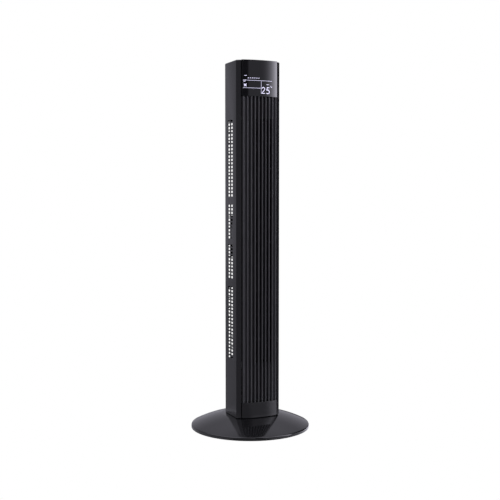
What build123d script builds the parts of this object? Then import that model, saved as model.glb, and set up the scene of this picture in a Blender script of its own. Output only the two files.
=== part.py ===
"""Tower fan: a slim swinging tower with a cross-flow fan wheel, on a round domed base.

Millimetres, +Z up, front towards -Y, origin on the floor under the centre of the base.
"""
from math import asin, atan2, cos, degrees, pi, radians, sin, sqrt
import os

from build123d import *

# ---------------------------------------------------------------- driving dimensions
total_height = 1000.0
skin = 2.4                      # moulded wall of the tower
gap = 0.3                       # gap between neighbouring mouldings

base_radius = 163.4
base_rim_z = 9.0                # top of the upright rim
base_edge_z = 0.5               # foot of the rim, just clear of the floor
base_top_z = 38.5               # flat top of the dome
dome_radius = 373.0
foot_height = 3.0
plate_thickness = 2.6

tower_bottom_z = 40.0
side_x = 63.4                   # flat side panels
side_front_y = -52.3
side_back_y = 26.3
nose_x = 53.0                   # front edge of the chamfer beside the front insert
nose_y = -60.3
rear_y = 61.3                   # middle of the rounded back
rear_corner = 7.0
opening_x = 52.4                # half width of the front opening

insert_x = 51.1                 # half width of lens, grille and lower panel
insert_edge_y = -64.4
insert_front_y = -71.5
insert_skin = 2.5
insert_flange = 2.2             # thickness of the flange down each side
insert_flange_depth = 7.4
lower_panel_top_z = 81.7
grille_bottom_z = 82.0
grille_top_z = 904.0
lens_bottom_z = 904.3

rib_count = 10
rib_pitch = 10.4
rib_width = 3.9
backing_y = -61.5               # front face of the wall behind the ribs
backing_skin = 2.0
outlet_left_x = -12.0
outlet_right_x = 42.0
outlet_bottom_z = 187.0
outlet_top_z = 846.0
guard_bar_count = 9
guard_bar_pitch = 65.9
guard_bar_height = 2.4

vent_pitch = 9.55               # side slots, row to row
vent_height = 6.0
vent_length = 15.0
vent_column_pitch = 19.5
vent_middle_y = -10.75
vent_groups = ((842.0, 22), (613.4, 10), (505.6, 10), (391.0, 21))   # top row, rows
rear_top_z = 844.0              # top of the uppermost rear slots
rear_bottom_z = 189.0
rear_cell_pitch = 29.8
rear_cell_rib = 2.4
rear_columns = 8
rear_column_step = 10.3         # degrees
rear_slot_width = 11.4

handle_half_x = 36.0
handle_bottom_z = 505.0
handle_top_z = 560.0
handle_floor_y = 33.0

wheel_y = -12.0                 # axis of the fan wheel, in front of the swing axis
wheel_radius = 36.0
wheel_hub_radius = 25.0
wheel_bottom_z = 192.0
wheel_top_z = 841.0
wheel_disc = 3.0
wheel_sections = 8
blade_count = 28
shaft_radius = 4.0
running_clearance = 0.05

lower_plate_z = 170.0           # plate that closes the air duct and carries the motor
upper_plate_z = 852.0
end_plate = 3.0

motor_radius = 34.0
motor_bottom_z = 103.0
core_bottom_z = 125.0
core_top_z = 145.0
motor_top_z = 166.0

spindle_radius = 14.0
spindle_bore = 9.0
spindle_top_z = 59.0
gear_module = 1.0
swing_gear_teeth = 48
pinion_teeth = 16
gear_bottom_z = 52.4
gear_width = 4.0
pinion_y = gear_module * (swing_gear_teeth + pinion_teeth) / 2

key_names = ("key_power", "key_speed", "key_mode", "key_timer", "key_swing")
key_pitch = 18.0
key_length = 13.0
key_width = 8.0
key_corner = 2.0
key_y = -34.0
key_travel = 1.0
key_top_z = 999.6               # a little below the rim of the housing
cap_top_z = 998.4
cap_thickness = 3.0
lid_opening_back = 8.0          # rim of the housing around the top cap
board_top_z = 984.0
board_thickness = 1.6

screw_post_x = 46.0
screw_post_z = (120.0, 880.0)

# worked out from the driving dimensions
rear_sagitta = rear_y - side_back_y
rear_radius = (side_x**2 + rear_sagitta**2) / (2 * rear_sagitta)
rear_centre_y = rear_y - rear_radius
insert_sagitta = insert_edge_y - insert_front_y
insert_radius = (insert_x**2 + insert_sagitta**2) / (2 * insert_sagitta)
insert_centre_y = insert_front_y + insert_radius
dome_centre_z = base_rim_z - sqrt(dome_radius**2 - base_radius**2)
plate_top_z = foot_height + plate_thickness
cap_bottom_z = cap_top_z - cap_thickness

os.makedirs("parts", exist_ok=True)


# ---------------------------------------------------------------- shared shapes
def arc_y(x, radius=insert_radius):
    """Front surface of the bowed insert at x, or one drawn with a smaller radius behind it."""
    return insert_centre_y - sqrt(radius**2 - x**2)


def dome_z(r, radius=dome_radius):
    """Height of the dome at distance r from its axis."""
    return dome_centre_z + sqrt(radius**2 - r**2)


def tower_outline(inset=0.0):
    """Plan of the tower: flat sides, chamfered front corners and a rounded back."""
    with BuildSketch() as plan:
        with BuildLine():
            Polyline(
                (-side_x, side_back_y),
                (-side_x, side_front_y),
                (-nose_x, nose_y),
                (nose_x, nose_y),
                (side_x, side_front_y),
                (side_x, side_back_y),
            )
            ThreePointArc((side_x, side_back_y), (0, rear_y), (-side_x, side_back_y))
        make_face()
        fillet(plan.vertices().group_by(Axis.Y)[-1], rear_corner)
        if inset:
            offset(amount=-inset, kind=Kind.INTERSECTION)
    return plan.sketch


def insert_outline():
    """Plan of the lens and the lower panel: a bowed front with a flange down each side."""
    inner = insert_radius - insert_skin
    flange_x = insert_x - insert_flange
    flange_y = insert_edge_y + insert_flange_depth
    with BuildSketch() as plan:
        with BuildLine():
            ThreePointArc((-insert_x, insert_edge_y), (0, insert_front_y), (insert_x, insert_edge_y))
            Polyline(
                (insert_x, insert_edge_y),
                (insert_x, flange_y),
                (flange_x, flange_y),
                (flange_x, arc_y(flange_x, inner)),
            )
            ThreePointArc(
                (flange_x, arc_y(flange_x, inner)),
                (0, arc_y(0, inner)),
                (-flange_x, arc_y(flange_x, inner)),
            )
            Polyline(
                (-flange_x, arc_y(flange_x, inner)),
                (-flange_x, flange_y),
                (-insert_x, flange_y),
                (-insert_x, insert_edge_y),
            )
        make_face()
    return plan.sketch


def involute(base, r):
    """Polar angle swept by an involute of the given base radius when it reaches r."""
    pressure = sqrt(max(r * r / (base * base) - 1.0, 0.0))
    return pressure - atan2(pressure, 1.0)


def gear_outline(teeth, turn):
    """Stub-tooth spur gear, turned by `turn` degrees, thinned a little for backlash."""
    pitch = gear_module * teeth / 2
    base = pitch * cos(radians(20))
    tip = pitch + 0.8 * gear_module
    root = pitch - 1.0 * gear_module
    backlash = 0.16
    half_pitch_angle = (pi * gear_module / 2 - backlash) / (2 * pitch)
    start = max(root, base)
    flank = [start + (tip - start) * step / 3 for step in range(4)]
    with BuildSketch() as wheel:
        Circle(root)
        with PolarLocations(0, teeth, start_angle=turn):
            with BuildLine():
                sides = []
                for side in (-1, 1):
                    points = []
                    for r in flank:
                        angle = side * (half_pitch_angle + involute(base, pitch) - involute(base, r))
                        points.append((r * cos(angle), r * sin(angle)))
                    foot = side * (half_pitch_angle + involute(base, pitch) - involute(base, start))
                    points.insert(0, ((root - 0.3) * cos(foot), (root - 0.3) * sin(foot)))
                    sides.append(points)
                Polyline(*sides[0], *reversed(sides[1]), close=True)
            make_face()
    return wheel.sketch


def pan_screw(head_radius, head_height, shank_radius, length):
    """Cross-recessed pan head screw, shank down from the origin, head above it."""
    with BuildPart(mode=Mode.PRIVATE) as screw:
        Cylinder(head_radius, head_height, align=(Align.CENTER, Align.CENTER, Align.MIN))
        fillet(screw.edges().filter_by(GeomType.CIRCLE).group_by(Axis.Z)[-1], 0.35 * head_height)
        Cylinder(shank_radius, length, align=(Align.CENTER, Align.CENTER, Align.MAX))
        with Locations((0, 0, head_height)):
            Box(1.2 * head_radius, 0.25 * head_radius, head_height, mode=Mode.SUBTRACT)
            Box(0.25 * head_radius, 1.2 * head_radius, head_height, mode=Mode.SUBTRACT)
    return screw.part


def save(piece, name):
    """Label one finished piece and write it as its own STEP file."""
    piece.label = name
    export_step(piece, f"parts/{name}.step")


# ================================================================ BASE
boss_ring = 110.0
boss_count = 6
boss_radius = 5.0
boss_top_z = 27.6
base_screw_radius = 1.6
spindle_flange_radius = 46.0
spindle_flange_top_z = plate_top_z + 3.4
shoulder_radius = 23.0
shoulder_top_z = 38.3
cover_hole_radius = 24.0
cover_skin = 2.5
spindle_screw_ring = 38.0
spindle_screw_count = 4
ballast_outer_radius = 100.0
ballast_inner_radius = 55.0
ballast_height = 14.0
foot_ring = 145.0
foot_count = 6
foot_radius = 8.0

# ---- base cover: one injection-moulded dome with an upright rim
inner_dome = dome_radius - cover_skin
flat_radius = sqrt(dome_radius**2 - (base_top_z - dome_centre_z) ** 2)
cover_inner_x = base_radius - cover_skin
with BuildPart() as base_cover:
    with BuildSketch(Plane.XZ) as profile:
        with BuildLine():
            Line((cover_hole_radius, base_top_z), (flat_radius, base_top_z))
            ThreePointArc((flat_radius, base_top_z), (120, dome_z(120)), (base_radius, base_rim_z))
            Polyline(
                (base_radius, base_rim_z),
                (base_radius, base_edge_z),
                (cover_inner_x, base_edge_z),
                (cover_inner_x, dome_z(cover_inner_x, inner_dome)),
            )
            ThreePointArc(
                (cover_inner_x, dome_z(cover_inner_x, inner_dome)),
                (120, dome_z(120, inner_dome)),
                (flat_radius, dome_z(flat_radius, inner_dome)),
            )
            Polyline(
                (flat_radius, dome_z(flat_radius, inner_dome)),
                (cover_hole_radius, dome_z(flat_radius, inner_dome)),
                (cover_hole_radius, base_top_z),
            )
        make_face()
        fillet(profile.vertices().sort_by_distance((base_radius, base_rim_z))[0], 3.0)
    revolve(axis=Axis.Z)
    with BuildSketch(Plane.XY.offset(plate_top_z + gap)):
        with PolarLocations(boss_ring, boss_count):
            Circle(boss_radius)
    extrude(amount=boss_top_z - plate_top_z - gap)
    with BuildSketch(Plane.XY.offset(plate_top_z)):
        with PolarLocations(boss_ring, boss_count):
            Circle(base_screw_radius + running_clearance)
    extrude(amount=15, mode=Mode.SUBTRACT)
save(base_cover.part, "base_cover")

# ---- base plate: pressed floor of the base
with BuildPart() as base_floor:
    with BuildSketch(Plane.XY.offset(foot_height)):
        Circle(cover_inner_x - 0.4)
        Circle(spindle_bore, mode=Mode.SUBTRACT)
        with PolarLocations(boss_ring, boss_count):
            Circle(base_screw_radius + 0.2, mode=Mode.SUBTRACT)
        with PolarLocations(spindle_screw_ring, spindle_screw_count, start_angle=45):
            Circle(base_screw_radius, mode=Mode.SUBTRACT)
    extrude(amount=plate_thickness)
save(base_floor.part, "base_plate")

# ---- ballast ring: steel weight that keeps the slim tower upright
with BuildPart() as ballast:
    with BuildSketch(Plane.XY.offset(plate_top_z)):
        Circle(ballast_outer_radius)
        Circle(ballast_inner_radius, mode=Mode.SUBTRACT)
    extrude(amount=ballast_height)
    chamfer(ballast.edges().filter_by(GeomType.CIRCLE).group_by(Axis.Z)[-1], 1.0)
save(ballast.part, "ballast_ring")

# ---- rubber feet: six pads that the whole fan stands on
with BuildPart() as feet:
    with BuildSketch():
        with PolarLocations(foot_ring, foot_count, start_angle=180 / foot_count):
            Circle(foot_radius)
    extrude(amount=foot_height)
    chamfer(feet.edges().filter_by(GeomType.CIRCLE).group_by(Axis.Z)[0], 0.6)
save(feet.part, "rubber_feet")

# ---- base screws: up through the plate into the bosses of the cover
base_screw = Rot(180, 0, 0) * pan_screw(3.2, 1.6, base_screw_radius, 12)
with BuildPart() as base_screws:
    with Locations(Plane.XY.offset(foot_height)):
        with PolarLocations(boss_ring, boss_count):
            add(base_screw)
save(base_screws.part, "base_screws")

# ---- swivel spindle: hollow post on a flange, the wires pass up its middle
circlip_bottom_z = gear_bottom_z + gear_width + 0.1
circlip_height = 1.2
circlip_groove = 1.2
circlip_reach = 2.6
with BuildPart() as spindle:
    with BuildSketch(Plane.XZ):
        with BuildLine():
            Polyline(
                (spindle_bore, plate_top_z),
                (spindle_flange_radius, plate_top_z),
                (spindle_flange_radius, spindle_flange_top_z),
                (shoulder_radius, spindle_flange_top_z),
                (shoulder_radius, shoulder_top_z),
                (spindle_radius, shoulder_top_z),
                (spindle_radius, circlip_bottom_z),
                (spindle_radius - circlip_groove, circlip_bottom_z),
                (spindle_radius - circlip_groove, circlip_bottom_z + circlip_height),
                (spindle_radius, circlip_bottom_z + circlip_height),
                (spindle_radius, spindle_top_z),
                (spindle_bore, spindle_top_z),
                close=True,
            )
        make_face()
    revolve(axis=Axis.Z)
    with BuildSketch(Plane.XY.offset(plate_top_z)):
        with PolarLocations(spindle_screw_ring, spindle_screw_count, start_angle=45):
            Circle(base_screw_radius + 0.2)
    extrude(amount=10, mode=Mode.SUBTRACT)
save(spindle.part, "swivel_spindle")

# ---- spindle screws: clamp the flange down to the base plate
spindle_screw = pan_screw(3.2, 1.8, base_screw_radius - 0.05, 6.0)
with BuildPart() as spindle_screws:
    with Locations(Plane.XY.offset(spindle_flange_top_z)):
        with PolarLocations(spindle_screw_ring, spindle_screw_count, start_angle=45):
            add(spindle_screw)
save(spindle_screws.part, "spindle_screws")

# ---- thrust washer: slippery ring that the tower turns on
washer_height = 1.8
with BuildPart() as washer:
    with BuildSketch(Plane.XY.offset(shoulder_top_z)):
        Circle(shoulder_radius - 0.5)
        Circle(spindle_radius + 0.1, mode=Mode.SUBTRACT)
    extrude(amount=washer_height)
save(washer.part, "thrust_washer")

# ---- swing gear: fixed on the spindle, the tower's pinion walks round it
with BuildPart() as ring_gear:
    with BuildSketch(Plane.XY.offset(gear_bottom_z)):
        add(gear_outline(swing_gear_teeth, 90))
        Circle(spindle_radius + 0.02, mode=Mode.SUBTRACT)
    extrude(amount=gear_width)
save(ring_gear.part, "swing_gear")

# ---- circlip: spring ring in the groove above the gear, open at one side
with BuildPart() as circlip:
    with BuildSketch(Plane.XY.offset(circlip_bottom_z + 0.05)):
        Circle(spindle_radius + circlip_reach)
        Circle(spindle_radius - circlip_groove + 0.05, mode=Mode.SUBTRACT)
        with Locations((0, -spindle_radius - 1)):
            Rectangle(8, 8, mode=Mode.SUBTRACT)
    extrude(amount=circlip_height - 0.1)
save(circlip.part, "spindle_circlip")

# ================================================================ TOWER SHELL
floor_z = 40.8
floor_skin = 3.2
hub_radius = 24.0
bush_radius = 18.4
hub_top_z = 52.0
swing_ear_x = 26.0
swing_motor_z = 60.0
ear_post_radius = 4.2
ear_screw_depth = 11.0

# ---- tower floor: closes the tower below, holds the swivel bush and the swing motor
with BuildPart() as tower_floor:
    with BuildSketch(Plane.XY.offset(floor_z)):
        add(tower_outline(skin + 0.1))
        with Locations((0, nose_y)):
            Rectangle(3 * side_x, 2 * (nose_y - insert_edge_y), mode=Mode.SUBTRACT)
    extrude(amount=floor_skin)
    with BuildSketch(Plane.XY.offset(floor_z)):
        Circle(hub_radius)
    extrude(amount=hub_top_z - floor_z)
    with BuildSketch(Plane.XY.offset(floor_z)):
        with Locations((-swing_ear_x, pinion_y), (swing_ear_x, pinion_y)):
            Circle(ear_post_radius)
    extrude(amount=swing_motor_z - floor_z)
    with BuildSketch(Plane.XY.offset(floor_z)):
        Circle(bush_radius + 0.05)
    extrude(amount=40, mode=Mode.SUBTRACT)
    with BuildSketch(Plane.XY.offset(swing_motor_z)):
        with Locations((-swing_ear_x, pinion_y), (swing_ear_x, pinion_y)):
            Circle(1.5)
    extrude(amount=-ear_screw_depth, mode=Mode.SUBTRACT)
save(tower_floor.part, "tower_floor")

# ---- swivel bush: acetal bearing between the floor's hub and the spindle
with BuildPart() as bush:
    with BuildSketch(Plane.XY.offset(floor_z - 0.4)):
        Circle(bush_radius)
        Circle(spindle_radius + running_clearance, mode=Mode.SUBTRACT)
    extrude(amount=hub_top_z - floor_z + 0.4)
save(bush.part, "swivel_bush")


def rear_cells():
    """Lower and upper edge of each row of rear slots, group by group."""
    rows = []
    for top_row, row_count in vent_groups:
        upper = min(1.04 * (top_row + vent_height / 2) - 25.6, rear_top_z)
        bottom_row = top_row - (row_count - 1) * vent_pitch
        lower = max(1.04 * (bottom_row - vent_height / 2) - 25.6, rear_bottom_z)
        cells = round((upper - lower) / rear_cell_pitch)
        step = (upper - lower + rear_cell_rib) / cells
        for index in range(cells):
            bottom = lower + index * step
            rows.append((bottom, bottom + step - rear_cell_rib))
    return rows


# ---- rear housing: sides, rounded back and top rim in one moulding, open at the front
column_span = (rear_columns - 1) * rear_column_step
rear_start = 90 - column_span / 2
handle_columns = 6              # the middle columns stop above and below the handle
handle_span = (handle_columns - 1) * rear_column_step
handle_start = 90 - handle_span / 2
handle_mid_z = (handle_bottom_z + handle_top_z) / 2
cup_width = 2 * handle_half_x
cup_height = handle_top_z - handle_bottom_z
gland_z = 92.0
gland_hole_radius = 6.1
recess_radius = 4.2
post_end_y = -31.5
post_root_y = side_back_y + 16
post_skin = 1.8
post_screw_hole = 1.7
post_floor = 1.5
behind_y = 70.0                 # a plane clear of the back
rim_fillet = 3.0
rim_thickness = 4.0
cup_skin = 2.2
cup_corner = 7.0
cup_opening_edge = 0.3
with BuildPart() as housing:
    with BuildSketch(Plane.XY.offset(tower_bottom_z)):
        add(tower_outline())
    extrude(amount=total_height - tower_bottom_z)
    rim = housing.edges().group_by(Axis.Z)[-1].sort_by(Axis.Y)[1:]
    fillet(rim, rim_fillet)
    with BuildSketch(Plane.XY.offset(tower_bottom_z)):
        add(tower_outline(skin))
    extrude(amount=total_height - rim_thickness - tower_bottom_z, mode=Mode.SUBTRACT)
    # lid opening, with the front opening below it
    with BuildSketch(Plane.XY.offset(total_height - rim_thickness - 1)):
        with Locations((0, rear_centre_y)):
            Circle(rear_radius - lid_opening_back)
        Rectangle(2 * opening_x, 4 * side_x, mode=Mode.INTERSECT)
        with Locations((0, -side_x / 2)):
            Rectangle(2 * opening_x, side_x)
    extrude(amount=10, mode=Mode.SUBTRACT)
    with BuildSketch(Plane.XY.offset(tower_bottom_z)):
        with Locations((0, nose_y)):
            Rectangle(2 * opening_x, 16)
    extrude(amount=total_height - tower_bottom_z, mode=Mode.SUBTRACT)
    # deep tubes for the four screws that pull the housing onto the grille
    for post_z in screw_post_z:
        with BuildSketch(Plane.XZ.offset(-post_root_y)):
            with Locations((-screw_post_x, post_z), (screw_post_x, post_z)):
                Circle(recess_radius + post_skin)
        extrude(amount=post_root_y - post_end_y)
    # side slots, through both flat side panels
    for top_row, row_count in vent_groups:
        middle_z = top_row - (row_count - 1) * vent_pitch / 2
        with BuildSketch(Plane.YZ):
            with Locations((vent_middle_y, middle_z)):
                with GridLocations(vent_column_pitch, vent_pitch, 2, row_count):
                    Rectangle(vent_length, vent_height)
        extrude(amount=side_x + 5, both=True, mode=Mode.SUBTRACT)
    # rear slots, fanned round the back
    for bottom, top in rear_cells():
        beside_handle = top > handle_bottom_z - 8 and bottom < handle_top_z + 8
        with BuildSketch(Plane.XY.offset(bottom)):
            with Locations((0, rear_centre_y)):
                with PolarLocations(rear_radius, rear_columns, rear_start, column_span, endpoint=True):
                    Rectangle(14, rear_slot_width)
                if beside_handle:
                    with PolarLocations(
                        rear_radius, handle_columns, handle_start, handle_span, endpoint=True
                    ):
                        Rectangle(20, rear_slot_width + 4, mode=Mode.SUBTRACT)
        extrude(amount=top - bottom, mode=Mode.SUBTRACT)
    # handle opening
    with BuildSketch(Plane.XZ.offset(-handle_floor_y)):
        with Locations((0, handle_mid_z)):
            RectangleRounded(
                cup_width + 2 * (cup_skin + cup_opening_edge),
                cup_height + 2 * (cup_skin + cup_opening_edge),
                cup_corner + 2,
            )
    extrude(amount=-60, mode=Mode.SUBTRACT)
    # screw recesses, screw holes and cord gland hole
    for post_z in screw_post_z:
        with BuildSketch(Plane.XZ.offset(-behind_y)):
            with Locations((-screw_post_x, post_z), (screw_post_x, post_z)):
                Circle(recess_radius)
        extrude(amount=behind_y - post_end_y - post_floor, mode=Mode.SUBTRACT)
        with BuildSketch(Plane.XZ.offset(-behind_y)):
            with Locations((-screw_post_x, post_z), (screw_post_x, post_z)):
                Circle(post_screw_hole)
        extrude(amount=behind_y - post_end_y + 1, mode=Mode.SUBTRACT)
    with BuildSketch(Plane.XZ.offset(-behind_y)):
        with Locations((0, gland_z)):
            Circle(gland_hole_radius)
    extrude(amount=30, mode=Mode.SUBTRACT)
save(housing.part, "rear_housing")

# ---- handle cup: moulded pocket behind the handle opening, hooked over by the fingers
with BuildPart() as cup:
    with BuildSketch(Plane.XZ.offset(-handle_floor_y + 2)):
        with Locations((0, handle_mid_z)):
            RectangleRounded(cup_width + 2 * cup_skin, cup_height + 2 * cup_skin, cup_corner + 1.7)
    extrude(amount=-40)
    with BuildSketch(Plane.XZ.offset(-handle_floor_y)):
        with Locations((0, handle_mid_z)):
            RectangleRounded(cup_width, cup_height, cup_corner)
    extrude(amount=-40, mode=Mode.SUBTRACT)
    with BuildSketch(Plane.XY.offset(handle_bottom_z - 10)):
        add(tower_outline(0.1))
    extrude(amount=cup_height + 20, mode=Mode.INTERSECT)
save(cup.part, "handle_cup")

# ---- front grille: upright ribs on a backing wall, open at the air outlet
grille_post_radius = 4.0
grille_post_bore = 1.5
rib_nose = 0.7
outlet_mid_x = (outlet_left_x + outlet_right_x) / 2
outlet_mid_z = (outlet_bottom_z + outlet_top_z) / 2
with BuildPart() as grille:
    with BuildSketch(Plane.XY.offset(grille_bottom_z)):
        with Locations((0, backing_y + backing_skin / 2)):
            Rectangle(2 * insert_x, backing_skin)
    extrude(amount=grille_top_z - grille_bottom_z)
    with BuildSketch(Plane.XZ.offset(-backing_y - 10)):
        with Locations((outlet_mid_x, outlet_mid_z)):
            Rectangle(outlet_right_x - outlet_left_x, outlet_top_z - outlet_bottom_z)
    extrude(amount=30, mode=Mode.SUBTRACT)
    with BuildSketch(Plane.XZ.offset(-backing_y - backing_skin)):
        with Locations((outlet_mid_x, outlet_mid_z)):
            with GridLocations(1, guard_bar_pitch, 1, guard_bar_count):
                Rectangle(outlet_right_x - outlet_left_x, guard_bar_height)
    extrude(amount=backing_skin)
    for index in range(rib_count):
        rib_x = (index - (rib_count - 1) / 2) * rib_pitch
        front = arc_y(abs(rib_x) + rib_width / 4)
        with BuildSketch(Plane.XY.offset(grille_bottom_z)) as rib:
            with Locations((rib_x, (front + backing_y + 0.5) / 2)):
                Rectangle(rib_width, backing_y + 0.5 - front)
            fillet(rib.vertices().group_by(Axis.Y)[0], rib_nose)
        extrude(amount=grille_top_z - grille_bottom_z)
    for post_z in screw_post_z:
        with BuildSketch(Plane.XZ.offset(-backing_y - backing_skin)):
            with Locations((-screw_post_x, post_z), (screw_post_x, post_z)):
                Circle(grille_post_radius)
                Circle(grille_post_bore, mode=Mode.SUBTRACT)
        extrude(amount=backing_y + backing_skin - post_end_y + 0.2)
save(grille.part, "front_grille")

# ---- display lens: dark bowed window over the display, up to the top edge
with BuildPart() as lens:
    with BuildSketch(Plane.XY.offset(lens_bottom_z)):
        add(insert_outline())
    extrude(amount=total_height - lens_bottom_z)
    lens_top = lens.faces().sort_by(Axis.Z)[-1]
    fillet(lens_top.edges().filter_by(GeomType.CIRCLE).sort_by(Axis.Y)[0], 0.8)
save(lens.part, "display_lens")

# ---- lower panel: plain bowed panel under the grille
with BuildPart() as plinth:
    with BuildSketch(Plane.XY.offset(tower_bottom_z + 0.4)):
        add(insert_outline())
    extrude(amount=lower_panel_top_z - tower_bottom_z - 0.4)
save(plinth.part, "lower_panel")

# ---- top cap: lid with the key openings, four board posts below it
lens_back_radius = insert_radius - insert_skin - gap
cap_front_x = insert_x - insert_flange - gap
cap_step_y = 56.0               # in front of this the lid narrows to fit inside the lens
board_post_x = 43.0
board_post_y = (-52.0, -18.0)
switch_height = 4.0
cap_post_radius = 3.0
cap_post_bore = 1.3
board_hole_radius = 1.4
board_posts = [(x, y) for x in (-board_post_x, board_post_x) for y in board_post_y]
key_xs = [(index - 2) * key_pitch for index in range(len(key_names))]
with BuildPart() as cap:
    with BuildSketch(Plane.XY.offset(cap_bottom_z)):
        with Locations((0, rear_centre_y)):
            Circle(rear_radius - lid_opening_back - gap)
        with Locations((0, 2 * side_x - cap_step_y)):
            Rectangle(2 * (opening_x - gap), 4 * side_x, mode=Mode.INTERSECT)
        with Locations((0, -cap_step_y / 2)):
            Rectangle(2 * (opening_x - gap), cap_step_y)
        with Locations((0, -cap_step_y)):
            Rectangle(2 * cap_front_x, 30)
        with Locations((0, insert_centre_y)):
            Circle(lens_back_radius, mode=Mode.INTERSECT)
    extrude(amount=cap_thickness)
    with BuildSketch(Plane.XY.offset(board_top_z)):
        with Locations(*board_posts):
            Circle(cap_post_radius)
    extrude(amount=cap_bottom_z - board_top_z)
    with BuildSketch(Plane.XY.offset(board_top_z)):
        with Locations(*board_posts):
            Circle(cap_post_bore)
    extrude(amount=8, mode=Mode.SUBTRACT)
    with BuildSketch(Plane.XY.offset(cap_bottom_z)):
        with Locations(*[(x, key_y) for x in key_xs]):
            RectangleRounded(key_length + 2 * gap, key_width + 2 * gap, key_corner + gap)
    extrude(amount=cap_thickness, mode=Mode.SUBTRACT)
save(cap.part, "top_cap")

# ================================================================ CONTROLS
# ---- push keys: each slides down in its own opening onto a switch
key_flange = 1.2                # how far the hidden flange stands out all round
key_flange_thickness = 1.5
key_flange_z = cap_bottom_z - gap - key_flange_thickness
key_stem_bottom_z = board_top_z + switch_height + key_travel + gap
for name, x in zip(key_names, key_xs):
    with BuildPart() as key:
        with BuildSketch(Plane.XY.offset(key_flange_z)):
            with Locations((x, key_y)):
                RectangleRounded(key_length + 2 * key_flange, key_width + 2 * key_flange, 2.5)
        extrude(amount=key_flange_thickness)
        with BuildSketch(Plane.XY.offset(key_flange_z)):
            with Locations((x, key_y)):
                RectangleRounded(key_length, key_width, key_corner)
        extrude(amount=key_top_z - key_flange_z)
        fillet(key.faces().sort_by(Axis.Z)[-1].edges(), 0.5)
        with BuildSketch(Plane.XY.offset(key_stem_bottom_z)):
            with Locations((x, key_y)):
                Circle(2)
        extrude(amount=key_flange_z - key_stem_bottom_z)
    save(key.part, name)

# ---- control board: hangs under the top cap and carries the key switches
with BuildPart() as control_board:
    with BuildSketch(Plane.XY.offset(board_top_z - board_thickness)):
        with Locations((0, sum(board_post_y) / 2)):
            Rectangle(2 * board_post_x + 8, board_post_y[1] - board_post_y[0] + 8)
        with Locations(*board_posts):
            Circle(board_hole_radius, mode=Mode.SUBTRACT)
    extrude(amount=board_thickness)
save(control_board.part, "control_board")

# ---- key switches: one small push switch under each key
with BuildPart() as switches:
    with Locations(*[(x, key_y, board_top_z) for x in key_xs]):
        Box(6, 6, 3.5, align=(Align.CENTER, Align.CENTER, Align.MIN))
        Cylinder(1.7, switch_height, align=(Align.CENTER, Align.CENTER, Align.MIN))
save(switches.part, "key_switches")

# ---- light mask: block of light wells between the display board and the lens
mask_front_y = -61.2
mask_back_y = -52.0
mask_half_x = 47.5
mask_bottom_z = 910.0
mask_top_z = 970.0
mask_mid_z = (mask_bottom_z + mask_top_z) / 2
mask_screws = [(x, z) for x in (-44.0, 44.0) for z in (mask_bottom_z + 4, mask_top_z - 4)]
with BuildPart() as mask:
    with BuildSketch(Plane.XZ.offset(-mask_back_y)):
        with Locations((0, mask_mid_z)):
            Rectangle(2 * mask_half_x, mask_top_z - mask_bottom_z)
            with GridLocations(27, 24, 3, 2):
                RectangleRounded(23, 20, 1.5, mode=Mode.SUBTRACT)
        with Locations(*mask_screws):
            Circle(1.3, mode=Mode.SUBTRACT)
    extrude(amount=mask_back_y - mask_front_y)
save(mask.part, "light_mask")

# ---- display board: upright board with the lamps, behind the light mask
with BuildPart() as display_board:
    with BuildSketch(Plane.XZ.offset(-mask_back_y - board_thickness)):
        with Locations((0, mask_mid_z)):
            Rectangle(2 * mask_half_x, mask_top_z - mask_bottom_z)
        with Locations(*mask_screws):
            Circle(board_hole_radius, mode=Mode.SUBTRACT)
    extrude(amount=board_thickness)
save(display_board.part, "display_board")

# ---- board screws: eight, four up into the cap's posts and four through the display board
cap_screw = Rot(180, 0, 0) * pan_screw(2.6, 1.8, 1.25, 8.5)
mask_screw = Rot(-90, 0, 0) * pan_screw(2.6, 1.8, 1.25, 8.5)
with BuildPart() as board_screws:
    with Locations(*[(x, y, board_top_z - board_thickness) for x, y in board_posts]):
        add(cap_screw)
    with Locations(*[(x, mask_back_y + board_thickness, z) for x, z in mask_screws]):
        add(mask_screw)
save(board_screws.part, "board_screws")

# ================================================================ AIR DUCT
duct_bottom_z = lower_plate_z + end_plate
duct_height = upper_plate_z - duct_bottom_z
duct_front_y = backing_y + backing_skin + 0.1
scroll_skin = 1.6


def scroll_arc(extra):
    """Points of the scroll's curve, `extra` outside its inner face."""
    start = radians(75)
    inner = wheel_radius + 3.5
    return (
        ((inner + extra) * cos(start), wheel_y + (inner + extra) * sin(start)),
        (wheel_radius + 12 + extra, wheel_y),
        (outlet_right_x + 1 + extra, duct_front_y),
    )


# ---- scroll: curved wall that turns the air from the back of the wheel to the outlet
with BuildPart() as scroll:
    with BuildSketch(Plane.XY.offset(duct_bottom_z)):
        near = scroll_arc(0)
        far = scroll_arc(scroll_skin)
        with BuildLine():
            ThreePointArc(*near)
            Line(near[2], far[2])
            ThreePointArc(*reversed(far))
            Line(far[0], near[0])
        make_face()
    extrude(amount=duct_height)
save(scroll.part, "air_scroll")

# ---- tongue: folded strip that parts the incoming air from the outgoing air
with BuildPart() as tongue:
    with BuildSketch(Plane.XY.offset(duct_bottom_z)):
        with BuildLine():
            Polyline(
                (outlet_left_x - 1, duct_front_y),
                (-19, -46),
                (-22, -46),
                (-46, duct_front_y),
                (-42, duct_front_y),
                (-21.5, -48.2),
                (-20, -48.2),
                (outlet_left_x - 3, duct_front_y),
                close=True,
            )
        make_face()
    extrude(amount=duct_height)
save(tongue.part, "air_tongue")

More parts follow.
